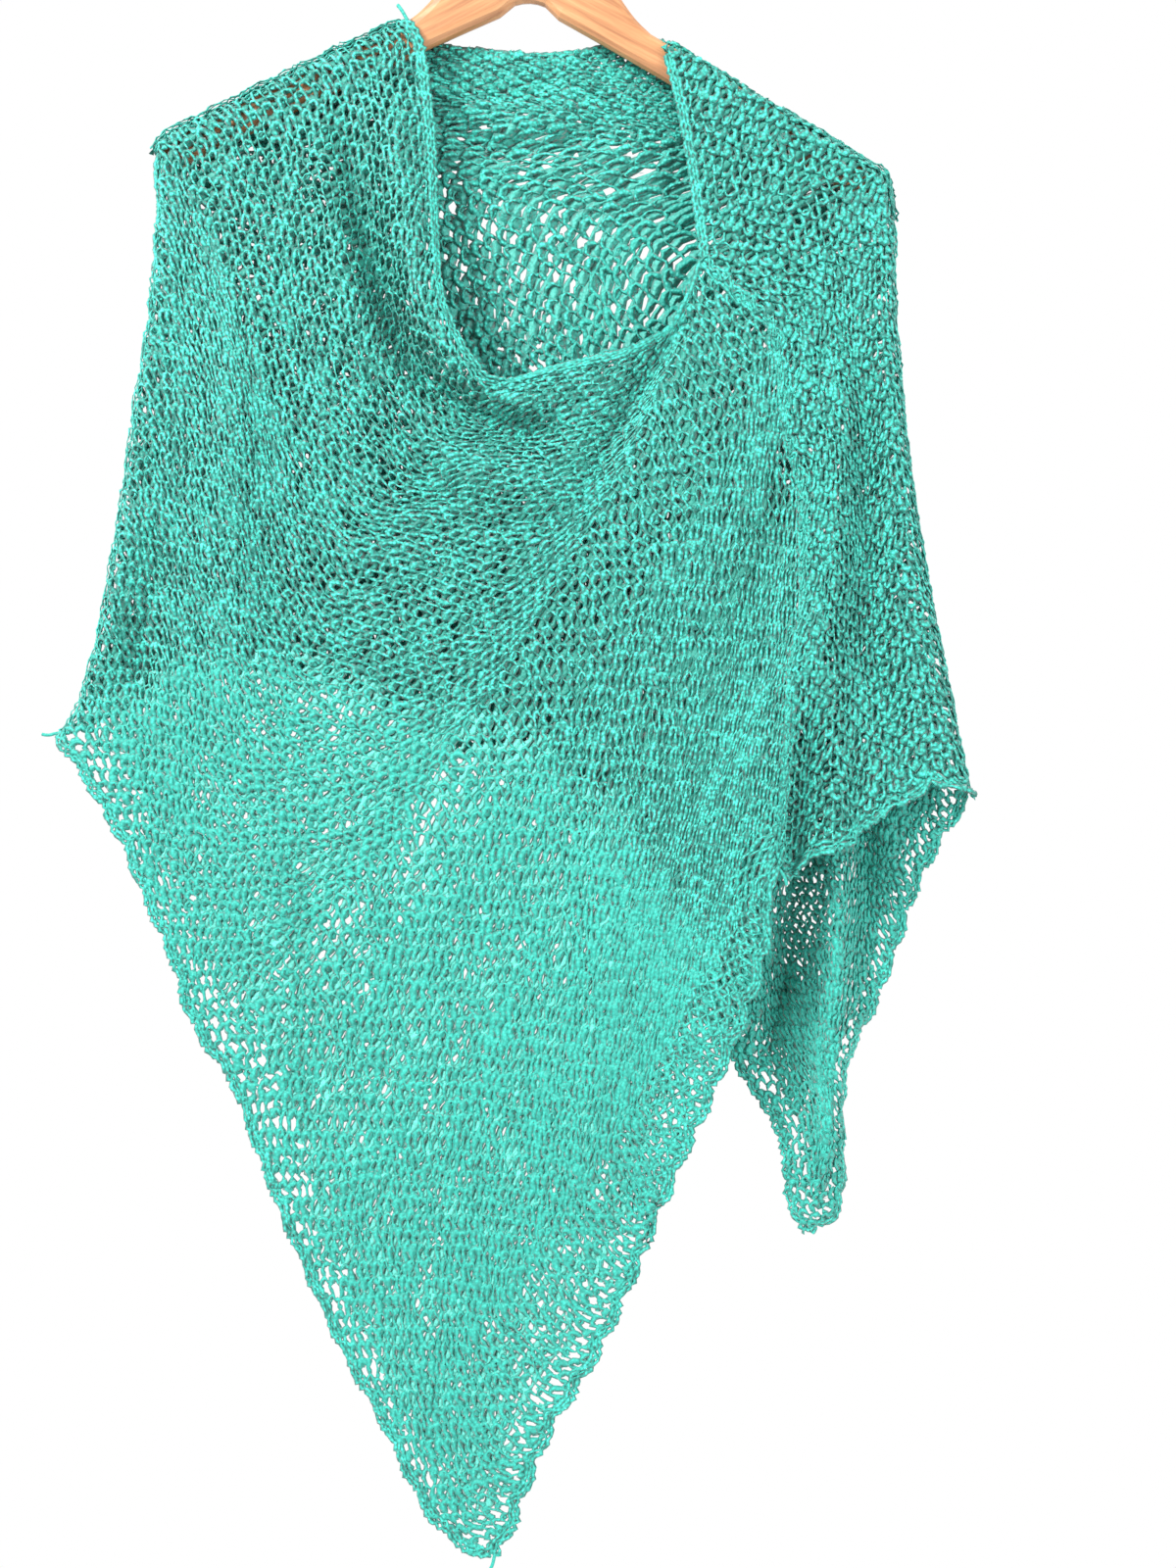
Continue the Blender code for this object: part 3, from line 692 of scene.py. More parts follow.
def spin(tree, source, made, count, strand, step, place, facing, thickness, missing, contrast):
    # points in their places become yarns, one for each unbroken stretch, flattened as they lie on the cloth
    given = {"Value": missing, "Group ID": strand}
    gaps = addNode(tree, "GeometryNodeAccumulateField", given, data_type="INT", domain="POINT")
    points = addNode(tree, "GeometryNodePoints", {"Count": count})
    moved = addNode(tree, "GeometryNodeSetPosition", {"Geometry": first(points), "Position": place})
    geometry = stored(tree, first(moved), "facing", "FLOAT_VECTOR", facing)
    geometry = stored(tree, geometry, "stretch", "INT", strand * gapsInStrand + outlet(gaps, "Leading"))
    kept = {"step": step, "thickness": thickness, "missing": missing, "contrast": contrast}
    for name, value in kept.items():
        geometry = stored(tree, geometry, name, "FLOAT", value)
    given = {"Geometry": geometry, "Selection": recalled(tree, "missing", "FLOAT").math("GREATER_THAN", 0.5)}
    trimmed = addNode(tree, "GeometryNodeDeleteGeometry", given, domain="POINT")
    given = {
        "Points": first(trimmed),
        "Curve Group ID": recalled(tree, "stretch", "INT"),
        "Weight": recalled(tree, "step", "FLOAT"),
    }
    yarns = addNode(tree, "GeometryNodePointsToCurves", given)
    given = {"Curve": first(yarns), "Normal": recalled(tree, "facing", "FLOAT_VECTOR")}
    laid = addNode(tree, "GeometryNodeSetCurveNormal", given, mode="FREE")
    given = {"Resolution": outlet(source, "sides"), "Radius": 1.0}
    ring = addNode(tree, "GeometryNodeCurvePrimitiveCircle", given, mode="RADIUS")
    # crest: 1 along the middle of a strand's faces and 0 at its sides, read by the yarn material to paint
    # shade along the sides
    side = partsOf(tree, first(addNode(tree, "GeometryNodeInputPosition")))[0].math("ABSOLUTE")
    crested = stored(tree, outlet(ring, "Curve"), "crest", "FLOAT", side)
    given = {"Geometry": crested, "Scale": (yarnFlatness, 1.0, 1.0)}
    flattened = addNode(tree, "GeometryNodeTransform", given)
    given = {
        "Curve": first(laid),
        "Profile Curve": first(flattened),
        "Scale": recalled(tree, "thickness", "FLOAT"),
        "Fill Caps": True,
    }
    result = first(addNode(tree, "GeometryNodeCurveToMesh", given))
    for kind in ("GeometryNodeSetShadeSmooth", "GeometryNodeRealizeInstances"):
        result = first(addNode(tree, kind, {"Geometry": result}))
    given = {"Geometry": result, "Material": outlet(source, "Material")}
    plug(made, "Geometry", first(addNode(tree, "GeometryNodeSetMaterial", given)))


# One row of knitting is one yarn: each loop's head hooks over a foot of the next row, half a stitch on
yarnFlatness = 0.32
gapsInStrand = 2048.0  # more than the gaps that any strand has, so each stretch has a number of its own
stitchApart, rowApart = 0.8, 3.7  # how far stitches and rows lie apart in the noise that makes them uneven
knitting = {
    "first row": 0,
    "row count": 248,
    "rows in all": cloth["rows"],
    "stitches": cloth["stitches"],
    "points a stitch": 8,
    "sides": 4,
    "cloth length": cloth["length"] * mm,
    "cloth width": cloth["width"] * mm,
    "row shift": 0.0,
    "row turn": math.pi,
    "row pairing": 0.45 * mm,
    "stop where open": 2.0,
    "stop where dense": -1.0,
    "stop before width": -1.0,
    "stop beyond width": 2.0,
    "stop near hem": -1.0,
    "dense height": 6.6 * mm,
    "open height": 6.8 * mm,
    "loop pinch": 0.09,
    "loop depth": 0.8 * mm,
    "lift": 0.25 * mm,
    "dense yarn": 1.75 * mm,
    "open yarn": 1.62 * mm,
    "dense legs": 0.85,
    "open legs": 0.7,
    # how strongly the yarn's painted shade and highlight show: weaker in the dense net, where light comes
    # through
    "dense contrast": 0.35,
    "open contrast": 0.9,
    "open from": -0.03,
    "open to": 0.05,
    "slub": 0.65,
    "slub seed": 500,
    "patches": 1.8,
    "patch scale": 62.0,
    "size change": 0.3,
    "tremble": 0.35 * mm,
    "wide drift": 7.0 * mm,
    "wide drift scale": 34.0,
    "close drift": 4.0 * mm,
    "close drift scale": 95.0,
    "selvedge": 14.0 * mm,
    "seed": 7,
}
# where the back hem's line lies on the front half: shares of the cloth's length and width
openNetBorder = [
    (0, 0.15), (0.05, 0.25), (0.11, 0.357), (0.21, 0.5), (0.26, 0.56), (0.36, 0.57), (0.41, 0.79),
    (0.45, 1), (1, 1),
]


def knittingTree():
    tree, given, made = newTree("knitting", knitting)
    size = lambda name: outlet(given, name)
    index = first(addNode(tree, "GeometryNodeInputIndex"))
    pointsInRow = size("stitches") * size("points a stitch") + 1.0
    row = ((index + 0.5) / pointsInRow).math("FLOOR")
    step = index - row * pointsInRow
    stitch = step / size("points a stitch")
    wholeRow = row + size("first row")
    rowTurn = wholeRow * size("row turn")
    turn = stitch * (2 * math.pi) + rowTurn
    headOrFoot = turn.math("COSINE")

    # the net is dense below the back hem's line across the front, open above it
    border = addNode(tree, "ShaderNodeFloatCurve", {"Value": wholeRow / size("rows in all")})
    line = border.mapping.curves[0]
    for length, width in openNetBorder[1:-1]:
        line.points.new(length, width)
    for end in (0, -1):
        line.points[end].location = openNetBorder[end]
    for point in line.points:
        point.handle_type = "VECTOR"
    border.mapping.update()
    widthShare = stitch / size("stitches")
    opened = smoothStep(tree, first(border) - widthShare, size("open from"), size("open to"))

    def blended(name):
        return (size("open " + name) - size("dense " + name)) * opened + size("dense " + name)

    # uneven stitches: each loop's height, pinch and lean drift along the row, and differ from the next row's
    chancePlace = vector(tree, stitch * stitchApart, wholeRow * rowApart, size("seed"))
    uneven = noise(tree, chancePlace, 1.0, 1.0)
    change = [(part - 0.5) * size("size change") for part in partsOf(tree, outlet(uneven, "Color"))]
    height = blended("height") * (change[0] * 2.0 + 1.0)
    pinch = size("loop pinch") * (change[1] * 4.0 + 1.0)

    # the loop on the flat cloth, in metres from its corner
    lean = change[2] * 0.5 * turn.math("SINE") + pinch * (turn * 2.0).math("SINE")
    across = (stitch + lean) * (size("cloth width") / size("stitches"))
    rowMiddle = (wholeRow + (size("row shift") + 0.5)) * (size("cloth length") / size("rows in all"))
    lengthwise = rowTurn.math("COSINE") * size("row pairing") + rowMiddle - height * 0.5 * headOrFoot

    # the hand of the knitter: the whole cloth drifts, least at its edges
    places, wholes = (lengthwise, across), (size("cloth length"), size("cloth width"))
    toEnd, toSide = (place.math("MINIMUM", whole - place) for place, whole in zip(places, wholes))
    toEdge = toSide.math("MINIMUM", toEnd)
    free = smoothStep(tree, toEdge, 0.0, size("selvedge"))
    flatPlace = vector(tree, lengthwise, across, size("seed") * 0.1)
    for reach in ("wide drift", "close drift"):
        drift = partsOf(tree, outlet(noise(tree, flatPlace, size(reach + " scale"), 0.0), "Color"))
        places = [(part - 0.5) * size(reach) * free + place for part, place in zip(drift, places)]
    trembles = randomParts(tree, index, size("first row"))
    shaken = [shake * size("tremble") + place for shake, place in zip(trembles, places)]
    shares = [keptOffRim(place / whole) for place, whole in zip(shaken, wholes)]
    place, facing, valid = onSurface(tree, given, *shares)
    depth = trembles[2] * size("tremble") + (size("loop depth") * (headOrFoot * -1.0) + size("lift"))
    place = movedAlong(tree, place, facing, depth)

    # what is left out: strands stop raggedly at their borders and short of the hems
    chance = outlet(uneven, "Fac")
    raggedShare = (chance - 0.5) * 0.5 + widthShare
    missing = 1.0 - valid
    for value, side, name in (
        (opened, "GREATER_THAN", "stop where open"),
        (opened, "LESS_THAN", "stop where dense"),
        (raggedShare, "LESS_THAN", "stop before width"),
        (raggedShare, "GREATER_THAN", "stop beyond width"),
    ):
        missing = missing.math("MAXIMUM", value.math(side, size(name)))
    missing = missing.math("MAXIMUM", toEdge.math("LESS_THAN", size("stop near hem") * (chance * 2.0)))

    # slubs: the yarn swells and thins from point to point, and its legs are drawn thinner
    slub, slubSeed = size("slub"), size("first row") + size("slub seed")
    spread = {"Min": 1.0 - slub, "Max": slub + 1.0, "ID": index, "Seed": slubSeed}
    bobble = outlet(addNode(tree, "FunctionNodeRandomValue", spread, data_type="FLOAT"), "Value")
    swell = (outlet(noise(tree, flatPlace, size("patch scale")), "Fac") - 0.5) * size("patches") + 1.0
    legs = blended("legs")
    drawn = (1.0 - legs) * headOrFoot.math("POWER", 2.0) + legs
    thickness = blended("yarn") * (bobble * swell) * drawn
    count = size("row count") * pointsInRow
    spin(tree, given, made, count, row, step, place, facing, thickness, missing, blended("contrast"))
    return tree


# A chained edge: strands side by side along an edge of the cloth, rolled where the cloth curls
edging = {
    "start along": 0.0,
    "start across": 0.0,
    "end along": 1.0,
    "end across": 0.0,
    "inward along": 0.0,
    "inward across": 1.0,
    "edge length": 1.3,
    "cloth length": cloth["length"] * mm,
    "cloth width": cloth["width"] * mm,
    "inward reach": 9.0 * mm,
    "strands": 3,
    "points a strand": 500,
    "sides": 4,
    "strand spacing": 2.2 * mm,
    "overhang": 0.6 * mm,
    "wave": 0.8 * mm,
    "wave length": 5.24 * mm,
    "scallop": 2.2 * mm,
    "scallop length": 15.0 * mm,
    "roll radius": 1.0,
    "lift": 0.9 * mm,
    "contrast": 0.7,
    "yarn radius": 1.4 * mm,
    "slub": 0.35,
    "tremble": 0.6 * mm,
    "seed": 3,
}
edgePointSpacing = 2.2 * mm


def edgingTree():
    tree, given, made = newTree("edging", edging)
    size = lambda name: outlet(given, name)
    index = first(addNode(tree, "GeometryNodeInputIndex"))
    pointsInStrand = size("points a strand")
    strand = ((index + 0.5) / pointsInStrand).math("FLOOR")
    step = index - strand * pointsInStrand
    share = step / (pointsInStrand - 1.0)
    run = share * size("edge length")

    # the edge itself, and a place further in that tells which way is out
    edge, inner = [], []
    for axis, whole in (("along", "cloth length"), ("across", "cloth width")):
        start = size("start " + axis)
        edge.append(keptOffRim((size("end " + axis) - start) * share + start))
        inner.append(size("inward " + axis) * (size("inward reach") / size(whole)) + edge[-1])
    place, facing, valid = onSurface(tree, given, *edge)
    further, alsoValid = onSurface(tree, given, *inner)[::2]
    outward = first(vectorMath(tree, "NORMALIZE", first(vectorMath(tree, "SUBTRACT", place, further))))

    # each strand's distance out from the edge, waving against its neighbours, scalloped along the rim
    trembles = randomParts(tree, index, size("seed"))
    wave = (run / size("wave length") * (2 * math.pi) + strand * math.pi).math("SINE")
    bulge = (run / size("scallop length") * math.pi).math("SINE").math("ABSOLUTE")
    out = strand * -1.0 * size("strand spacing") + size("overhang")
    out = out + size("wave") * wave + size("scallop") * bulge + size("tremble") * trembles[0]
    angle = out / size("roll radius")
    level = size("roll radius") * angle.math("SINE")
    rise = size("roll radius") * (1.0 - angle.math("COSINE"))
    rise = rise + (size("tremble") * trembles[1] + size("lift"))
    place = movedAlong(tree, movedAlong(tree, place, outward, level), facing, rise)
    thickness = size("yarn radius") * (size("slub") * trembles[2] + 1.0)
    missing = 1.0 - valid * alsoValid
    count = size("strands") * pointsInStrand
    spin(tree, given, made, count, strand, step, place, facing, thickness, missing, size("contrast"))
    return tree


# Pieces of knitting: the surface that each lies on, and its rows. Each has fine strands through its holes, in
# a look of their own: the yarn's, or a lit or shaded copy of it that paints light coming through the cloth or
# shade between its layers. They lie behind the yarn as the camera sees it, so their lift is negative on the
# front.
surfaceWidths = {"front": 1.0, "back": 1.0, "wrap": 0.31}  # shares of the cloth's width
neverOpen = {"open from": 5.0, "open to": 6.0}
alwaysOpen = {"open from": -3.0, "open to": -2.0}
calmHand = {**neverOpen, "wide drift": 3.0 * mm, "close drift": 2.0 * mm, "size change": 0.2}
fineStrand = {
    "points a stitch": 2,
    "sides": 3,
    "row shift": 0.5,
    "row pairing": 0.0,
    "stop where open": 0.85,
    "stop near hem": 20.0 * mm,
    "dense height": 1.5 * mm,
    "open height": 1.5 * mm,
    "loop pinch": 0.0,
    "loop depth": 0.3 * mm,
    "lift": -0.75 * mm,
    "dense yarn": 2.6 * mm,
    "open yarn": 2.6 * mm,
    "dense legs": 1.0,
    "open legs": 1.0,
    "patches": -0.4,
}
# Dark strands behind the front's open net and the wrap: painted shade, dark where the holes look onto the
# shaded back layer
shadeStrand = {
    "stop where open": 2.0,
    "stop where dense": 0.5,
    "stop near hem": 6.0 * mm,
    "open contrast": 0.3,
    "open yarn": 3.1 * mm,
    "lift": -1.2 * mm,
}
backStrand = {
    "dense yarn": 2.6 * mm,
    "patches": 0.0,
    "stop near hem": -1.0,
    "dense contrast": 0.4,
    "lift": 0.6 * mm,
}
closeStrand = {**backStrand, "dense yarn": 2.3 * mm, "lift": 1.0 * mm}
neckStrand = {**backStrand, "dense yarn": 3.4 * mm, "lift": 1.3 * mm, "stop beyond width": 0.5}
knitPieces = {
    "knit_front_point": {
        "surface": "front",
        "rows": (0, 44),
        "sizes": {"open yarn": 1.25 * mm, "loop depth": 0.45 * mm},
        "fine": {
            "fine_strand_front_point": ("pale", {"stop near hem": 13.0 * mm}),
            "shade_strand_front_point": ("shade", shadeStrand),
        },
    },
    "knit_front_middle": {
        "surface": "front",
        "rows": (44, 88),
        "sizes": {"loop depth": 0.6 * mm},
        "edges": "front",
        "fine": {
            "fine_strand_front_middle": ("pale", {}),
            "shade_strand_front_middle": ("shade", shadeStrand),
        },
    },
    "knit_front_shoulder": {
        "surface": "front",
        "rows": (88, 136),
        "sizes": {},
        "fine": {
            "fine_strand_front_shoulder": ("pale", {"open yarn": 2.8 * mm}),
            "shade_strand_front_shoulder": ("shade", {**shadeStrand, "patches": 2.4, "open yarn": 2.9 * mm}),
        },
    },
    "knit_back_shoulder": {
        "surface": "back",
        "rows": (110, 174),
        "sizes": {**calmHand, "dense contrast": 0.8, "dense yarn": 1.9 * mm, "loop depth": 1.5 * mm},
        "fine": {
            "fine_strand_back_neck": (
                "yarn", {**backStrand, "stop beyond width": 0.2, "dense yarn": 1.9 * mm},
            ),
            "fine_strand_back_neck_top": (
                "yarn", {**closeStrand, "stop before width": 0.2, "stop beyond width": 0.5, "row count": 36},
            ),
            "fine_strand_back_neck_low": (
                "soft", {**neckStrand, "stop before width": 0.2, "first row": 146, "row count": 28},
            ),
            "fine_strand_back_shoulder": (
                "yarn", {**backStrand, "stop before width": 0.5, "dense yarn": 2.3 * mm},
            ),
        },
    },
    "knit_back_tail": {
        "surface": "back",
        "rows": (174, 248),
        "sizes": neverOpen,
        "edges": "back",
        "fine": {
            "fine_strand_back_tail_neck": ("soft", {**neckStrand, "row count": 17}),
            "fine_strand_back_tail_hem": ("yarn", {**closeStrand, "row count": 17, "stop before width": 0.5}),
            "fine_strand_back_tail": (
                "yarn", {**closeStrand, "first row": 191, "row count": 57, "stop near hem": 12.0 * mm},
            ),
        },
    },
    "knit_wrap": {
        "surface": "wrap",
        "rows": (156, 248),
        "sizes": {**alwaysOpen, "open yarn": 1.95 * mm, "open contrast": 0.8},
        "edges": "wrap",
        "fine": {
            "fine_strand_wrap": (
                "shade", {**shadeStrand, "stop near hem": -1.0, "patches": 1.2, "open yarn": 2.9 * mm},
            ),
        },
    },
}


def knitCloth(surfaces, looks):
    # each piece's loops, and the fine strands that run with the yarn through its holes
    tree = knittingTree()
    pieces, strands = {}, {}
    for name, plan in knitPieces.items():
        start, stop = plan["rows"]
        surface = surfaces[plan["surface"]]
        values = {"first row": start, "row count": stop - start, **plan["sizes"]}
        pieces[name] = runTree(surface, tree, name, values, looks["yarn"])
        strands[name] = [
            runTree(surface, tree, fine, {**values, **fineStrand, **sizes}, looks[look])
            for fine, (look, sizes) in plan["fine"].items()
        ]
    return pieces, strands


# Edges: the surface, the ends and the way in on the flat cloth, and what is special there
neckChain = {"scallop": 0.6 * mm, "tremble": 0.25 * mm, "slub": 0.2, "lift": 1.2 * mm}
softScallops = {"scallop": 3.0 * mm, "scallop length": 31.0 * mm}
deepScallops = {"scallop": 4.6 * mm, "scallop length": 27.0 * mm}
endRows = {
    "strands": 8,
    "strand spacing": 3.7 * mm,
    "overhang": -5.0 * mm,
    "wave": 1.5 * mm,
    "wave length": 8.5 * mm,
    "scallop": 0.0,
    "yarn radius": 1.3 * mm,
    "lift": 0.4 * mm,
    "slub": 0.5,
}
foldRow = {
    "strands": 4,
    "scallop": 3.0 * mm,
    "scallop length": 27.0 * mm,
    "overhang": 0.4 * mm,
    "lift": 0.5 * mm,
    "yarn radius": 1.6 * mm,
    "slub": 0.5,
}
shoulderRow = {
    **foldRow,
    "strands": 6,
    "strand spacing": 1.7 * mm,
    "overhang": 2.2 * mm,
    "lift": 0.8 * mm,
    "scallop": 2.0 * mm,
}
widerRow = {**shoulderRow, "strands": 7, "overhang": 3.4 * mm, "lift": 1.4 * mm}
rolledHem = {
    "strands": 4,
    "roll radius": 9.0 * mm,
    "strand spacing": -2.0 * mm,
    "overhang": -1.0 * mm,
    "scallop": 4.5 * mm,
    "scallop length": 26.0 * mm,
    "tremble": 1.5 * mm,
    "slub": 0.6,
}
seamYarn = {
    "strands": 1,
    "wave": 3.2 * mm,
    "wave length": 8.0 * mm,
    "lift": 1.8 * mm,
    "yarn radius": 1.0 * mm,
}
edgePieces = {
    "edge_front_seam": ("front", (0, 0), (0.263, 0), (0, 1), {}),
    "edge_front_neck": ("front", (0.263, 0), (0.539, 0), (0, 1), neckChain),
    "edge_front_hem": ("front", (0, 1), (0.45, 1), (0, -1), softScallops),
    "edge_front_end": ("front", (0, 0), (0, 1), (1, 0), deepScallops),
    "rows_by_front_end": ("front", (0, 0.01), (0, 0.5), (1, 0), endRows),
    "edge_back_neck": ("back", (0.539, 0), (0.638, 0), (0, 1), neckChain),
    "edge_back_hem": ("back", (0.45, 1), (1, 1), (0, -1), {}),
    "edge_back_end": ("back", (1, 0.31), (1, 1), (-1, 0), deepScallops),
    "edge_wrap_neck": ("wrap", (0.638, 0), (0.737, 0), (0, 1), neckChain),
    "edge_wrap_seam": ("wrap", (0.737, 0), (1, 0), (0, 1), {}),
    "row_on_left_fold": ("front", (0.5386, 0.004), (0.5386, 0.39), (-1, 0), shoulderRow),
    "row_behind_left_fold": ("back", (0.5394, 0.004), (0.5394, 0.39), (1, 0), shoulderRow),
    "row_on_lower_left_fold": ("front", (0.536, 0.39), (0.448, 0.997), (-1, 0), foldRow),
    "row_on_right_fold": ("wrap", (0.6385, 0.002), (0.7625, 0.27), (1, 0), widerRow),
    "row_behind_right_fold": ("back", (0.6375, 0.002), (0.7615, 0.27), (-1, 0), widerRow),
    "row_on_lower_right_fold": ("wrap", (0.765, 0.266), (0.997, 0.306), (0, -1), foldRow),
    "rolled_sleeve_hem": ("wrap", (1, 0), (1, 0.31), (-1, 0), rolledHem),
    "seam_stitches": ("front", (0, 0), (0.263, 0), (0, 1), seamYarn),
}


def edgeCloth(surfaces, yarn):
    tree = edgingTree()
    pieces = {}
    for name, (surface, start, end, inward, sizes) in edgePieces.items():
        reach = [(b - a) * cloth[side] for a, b, side in zip(start, end, ("length", "width"))]
        length = math.hypot(*reach) * mm
        values = {"edge length": length, "points a strand": round(length / edgePointSpacing)}
        for label, place in (("start", start), ("end", end), ("inward", inward)):
            values[label + " along"], values[label + " across"] = (float(share) for share in place)
        pieces[name] = runTree(surfaces[surface], tree, name, {**values, **sizes}, yarn)
    return pieces


# Yarn ends: where each leaves the cloth, and its way from there in millimetres
yarnEnds = {
    "front point": ("front", (0.0, 1.0), ((1, 0, 5), (0, -1, -3), (-2, -1, -8), (-5, 0, -12))),
    "left corner": ("front", (0.45, 1.0), ((4, 0, 0), (-3, -1, 0), (-8, -1, -2), (-12, 0, -1))),
    "left neck": ("front", (0.536, 0.0), ((2, 0, -3), (-1, -1, 2), (-3, -1, 6), (-6, 0, 10))),
    "seam end": ("front", (0.0, 0.0), ((-3, 0, 4), (1, -1, 0), (4, -1, -4), (5, -1, -9))),
}
yarnEndRadius = 1.1 * mm


def makeYarnEnds(surfaces, yarn):
    curve = bpy.data.curves.new("yarn_ends", "CURVE")
    curve.dimensions = "3D"
    curve.bevel_depth = yarnEndRadius
    curve.bevel_resolution = 1
    curve.use_fill_caps = True
    for surface, flat, way in yarnEnds.values():
        mesh = surfaces[surface].data
        nearestLoop = int(np.linalg.norm(flatPlacesOf(mesh) - flat, axis=1).argmin())
        root = mesh.vertices[mesh.loops[nearestLoop].vertex_index].co
        line = curve.splines.new("NURBS")
        line.points.add(len(way) - 1)
        for point, step in zip(line.points, way):
            point.co = (*(root + Vector(step) * mm), 1)
        line.use_endpoint_u = True
        line.order_u = 3
        line.resolution_u = 4
    holder = bpy.data.objects.new("yarn_ends_line", curve)
    bpy.context.scene.collection.objects.link(holder)
    bpy.context.view_layer.update()
    mesh = bpy.data.meshes.new_from_object(holder.evaluated_get(bpy.context.evaluated_depsgraph_get()))
    bpy.data.objects.remove(holder, do_unlink=True)
    mesh.materials.clear()
    mesh.materials.append(yarn)
    return newPiece("yarn_ends", mesh)


def flatPlacesOf(mesh):
    # the place on the flat cloth of each face's corners
    uv = np.empty(len(mesh.loops) * 2, np.float32)
    mesh.uv_layers["garment"].data.foreach_get("uv", uv)
    return uv.reshape(-1, 2)


def flatArea(surface, rows):
    # the flat area of a stretch of rows on a surface, by its faces' places on the flat cloth
    corners = flatPlacesOf(surface.data).reshape(-1, 4, 2) * (cloth["length"] * mm, cloth["width"] * mm)
    p, q = corners[:, 2] - corners[:, 0], corners[:, 3] - corners[:, 1]
    area = np.abs(p[:, 0] * q[:, 1] - p[:, 1] * q[:, 0]) / 2
    middle = corners[:, :, 0].mean(axis=1) / (cloth["length"] * mm) * cloth["rows"]
    return float(area[(middle >= rows[0]) & (middle < rows[1])].sum())


def newMaterial(name, finish):
    material = bpy.data.materials.new(name)
    material.use_nodes = True
    shader = material.node_tree.nodes["Principled BSDF"]
    for label, value in finish.items():
        shader.inputs[label].default_value = value
    return material, material.node_tree, shader


def objectPlace(tree):
    return outlet(addNode(tree, "ShaderNodeTexCoord"), "Object")


def ramp(tree, factor, stops):
    node = addNode(tree, "ShaderNodeValToRGB", {"Fac": factor})
    elements = node.color_ramp.elements
    elements[0].position, elements[0].color = stops[0][0], (*stops[0][1], 1)
    elements[1].position, elements[1].color = stops[-1][0], (*stops[-1][1], 1)
    for position, colour in stops[1:-1]:
        elements.new(position).color = (*colour, 1)
    return outlet(node, "Color")


def bump(tree, shader, height, strength, distance, invert=False):
    given = {"Strength": strength, "Distance": distance, "Height": height}
    plug(shader, "Normal", first(addNode(tree, "ShaderNodeBump", given, invert=invert)))


# The yarn's colours: a ramp from a painted highlight (bright) through its body colour to painted shade
# (deep), picked by the painted shade at strand sides and beads and by the dye
yarnLook = {
    "deep": (0.006, 0.15, 0.12),
    "body": (0.020, 0.42, 0.34),
    "bright": (0.080, 0.76, 0.62),
    "stops": {"bright": 0.2, "body": 0.46, "deep": 0.85},
    # how much painted shade darkens each strand's sides
    "paintedSideShade": 0.38,
    "middle": 0.57,
    "beadScale": 430.0,
    "dyeScale": 90.0,
    "dyeShare": 0.5,
    "bump": 0.7,
    "bumpHeight": 1.2 * mm,
    "finish": {"Roughness": 0.6, "Sheen Weight": 0.2, "Sheen Roughness": 0.4},
}
# Lit and shaded copies of the yarn for the fine strands: pale and soft are painted light, lighter where light
# comes through thin cloth; shade is painted shade, dark where the layers shade each other
strandColours = {
    "pale": {"deep": (0.065, 0.41, 0.335), "body": (0.09, 0.49, 0.405), "bright": (0.12, 0.57, 0.475)},
    "soft": {"deep": (0.025, 0.27, 0.215), "body": (0.045, 0.40, 0.33), "bright": (0.08, 0.54, 0.445)},
    "shade": {"deep": (0.009, 0.18, 0.137), "body": (0.015, 0.25, 0.195), "bright": (0.022, 0.32, 0.25)},
}


def makeYarn(name, look):
    material, tree, shader = newMaterial(name, look["finish"])
    place = objectPlace(tree)
    # beads: the yarn's slubs; the distance to each bead's middle paints a highlight there and shade at its
    # rim, and also drives the bump
    beads = addNode(tree, "ShaderNodeTexVoronoi", {"Vector": place, "Scale": look["beadScale"]}, feature="F1")
    depth = outlet(beads, "Distance")
    dye = outlet(noise(tree, place, look["dyeScale"]), "Fac")
    # painted shade: a strand is coloured darker towards its sides, as crest falls from 1 along its middle to
    # 0 at its sides; contrast scales all this painted light and shade, least where light comes through
    labels = ("crest", "contrast")
    kept = [addNode(tree, "ShaderNodeAttribute", attribute_name=label) for label in labels]
    crest, contrast = (outlet(node, "Fac") for node in kept)
    shade = (1.0 - crest) * look["paintedSideShade"] + ((dye - 0.5) * look["dyeShare"] + depth)
    shade = (shade - look["middle"]) * contrast + look["middle"]
    stops = [(place, look[colour]) for colour, place in look["stops"].items()]
    plug(shader, "Base Color", ramp(tree, shade, stops))
    bump(tree, shader, depth, look["bump"], look["bumpHeight"], invert=True)
    return material


beech = {
    "armSlope": 0.53,
    "grainAlong": 14.0,
    "grainAcross": 260.0,
    "grainDeep": 200.0,
    "grainDetail": 5.0,
    "grainRoughness": 0.6,
    "colours": [(0.3, (0.27, 0.11, 0.042)), (0.5, (0.42, 0.19, 0.078)), (0.7, (0.52, 0.265, 0.12))],
    "bump": 0.2,
    "bumpHeight": 0.5 * mm,
    "finish": {"Roughness": 0.42, "Coat Weight": 0.25},
}


def makeWood():
    # the grain runs along each arm
    material, tree, shader = newMaterial("pale_beech", beech["finish"])
    x, y, z = partsOf(tree, objectPlace(tree))
    side = x.math("ABSOLUTE")
    lean = math.atan(beech["armSlope"])
    alongArm = (side * math.cos(lean) - z * math.sin(lean)) * beech["grainAlong"]
    acrossArm = (side * math.sin(lean) + z * math.cos(lean)) * beech["grainAcross"]
    grain = noise(tree, vector(tree, alongArm, acrossArm, y * beech["grainDeep"]), 1.0, beech["grainDetail"])
    plug(grain, "Roughness", beech["grainRoughness"])
    plug(shader, "Base Color", ramp(tree, outlet(grain, "Fac"), beech["colours"]))
    bump(tree, shader, outlet(grain, "Fac"), beech["bump"], beech["bumpHeight"])
    return material


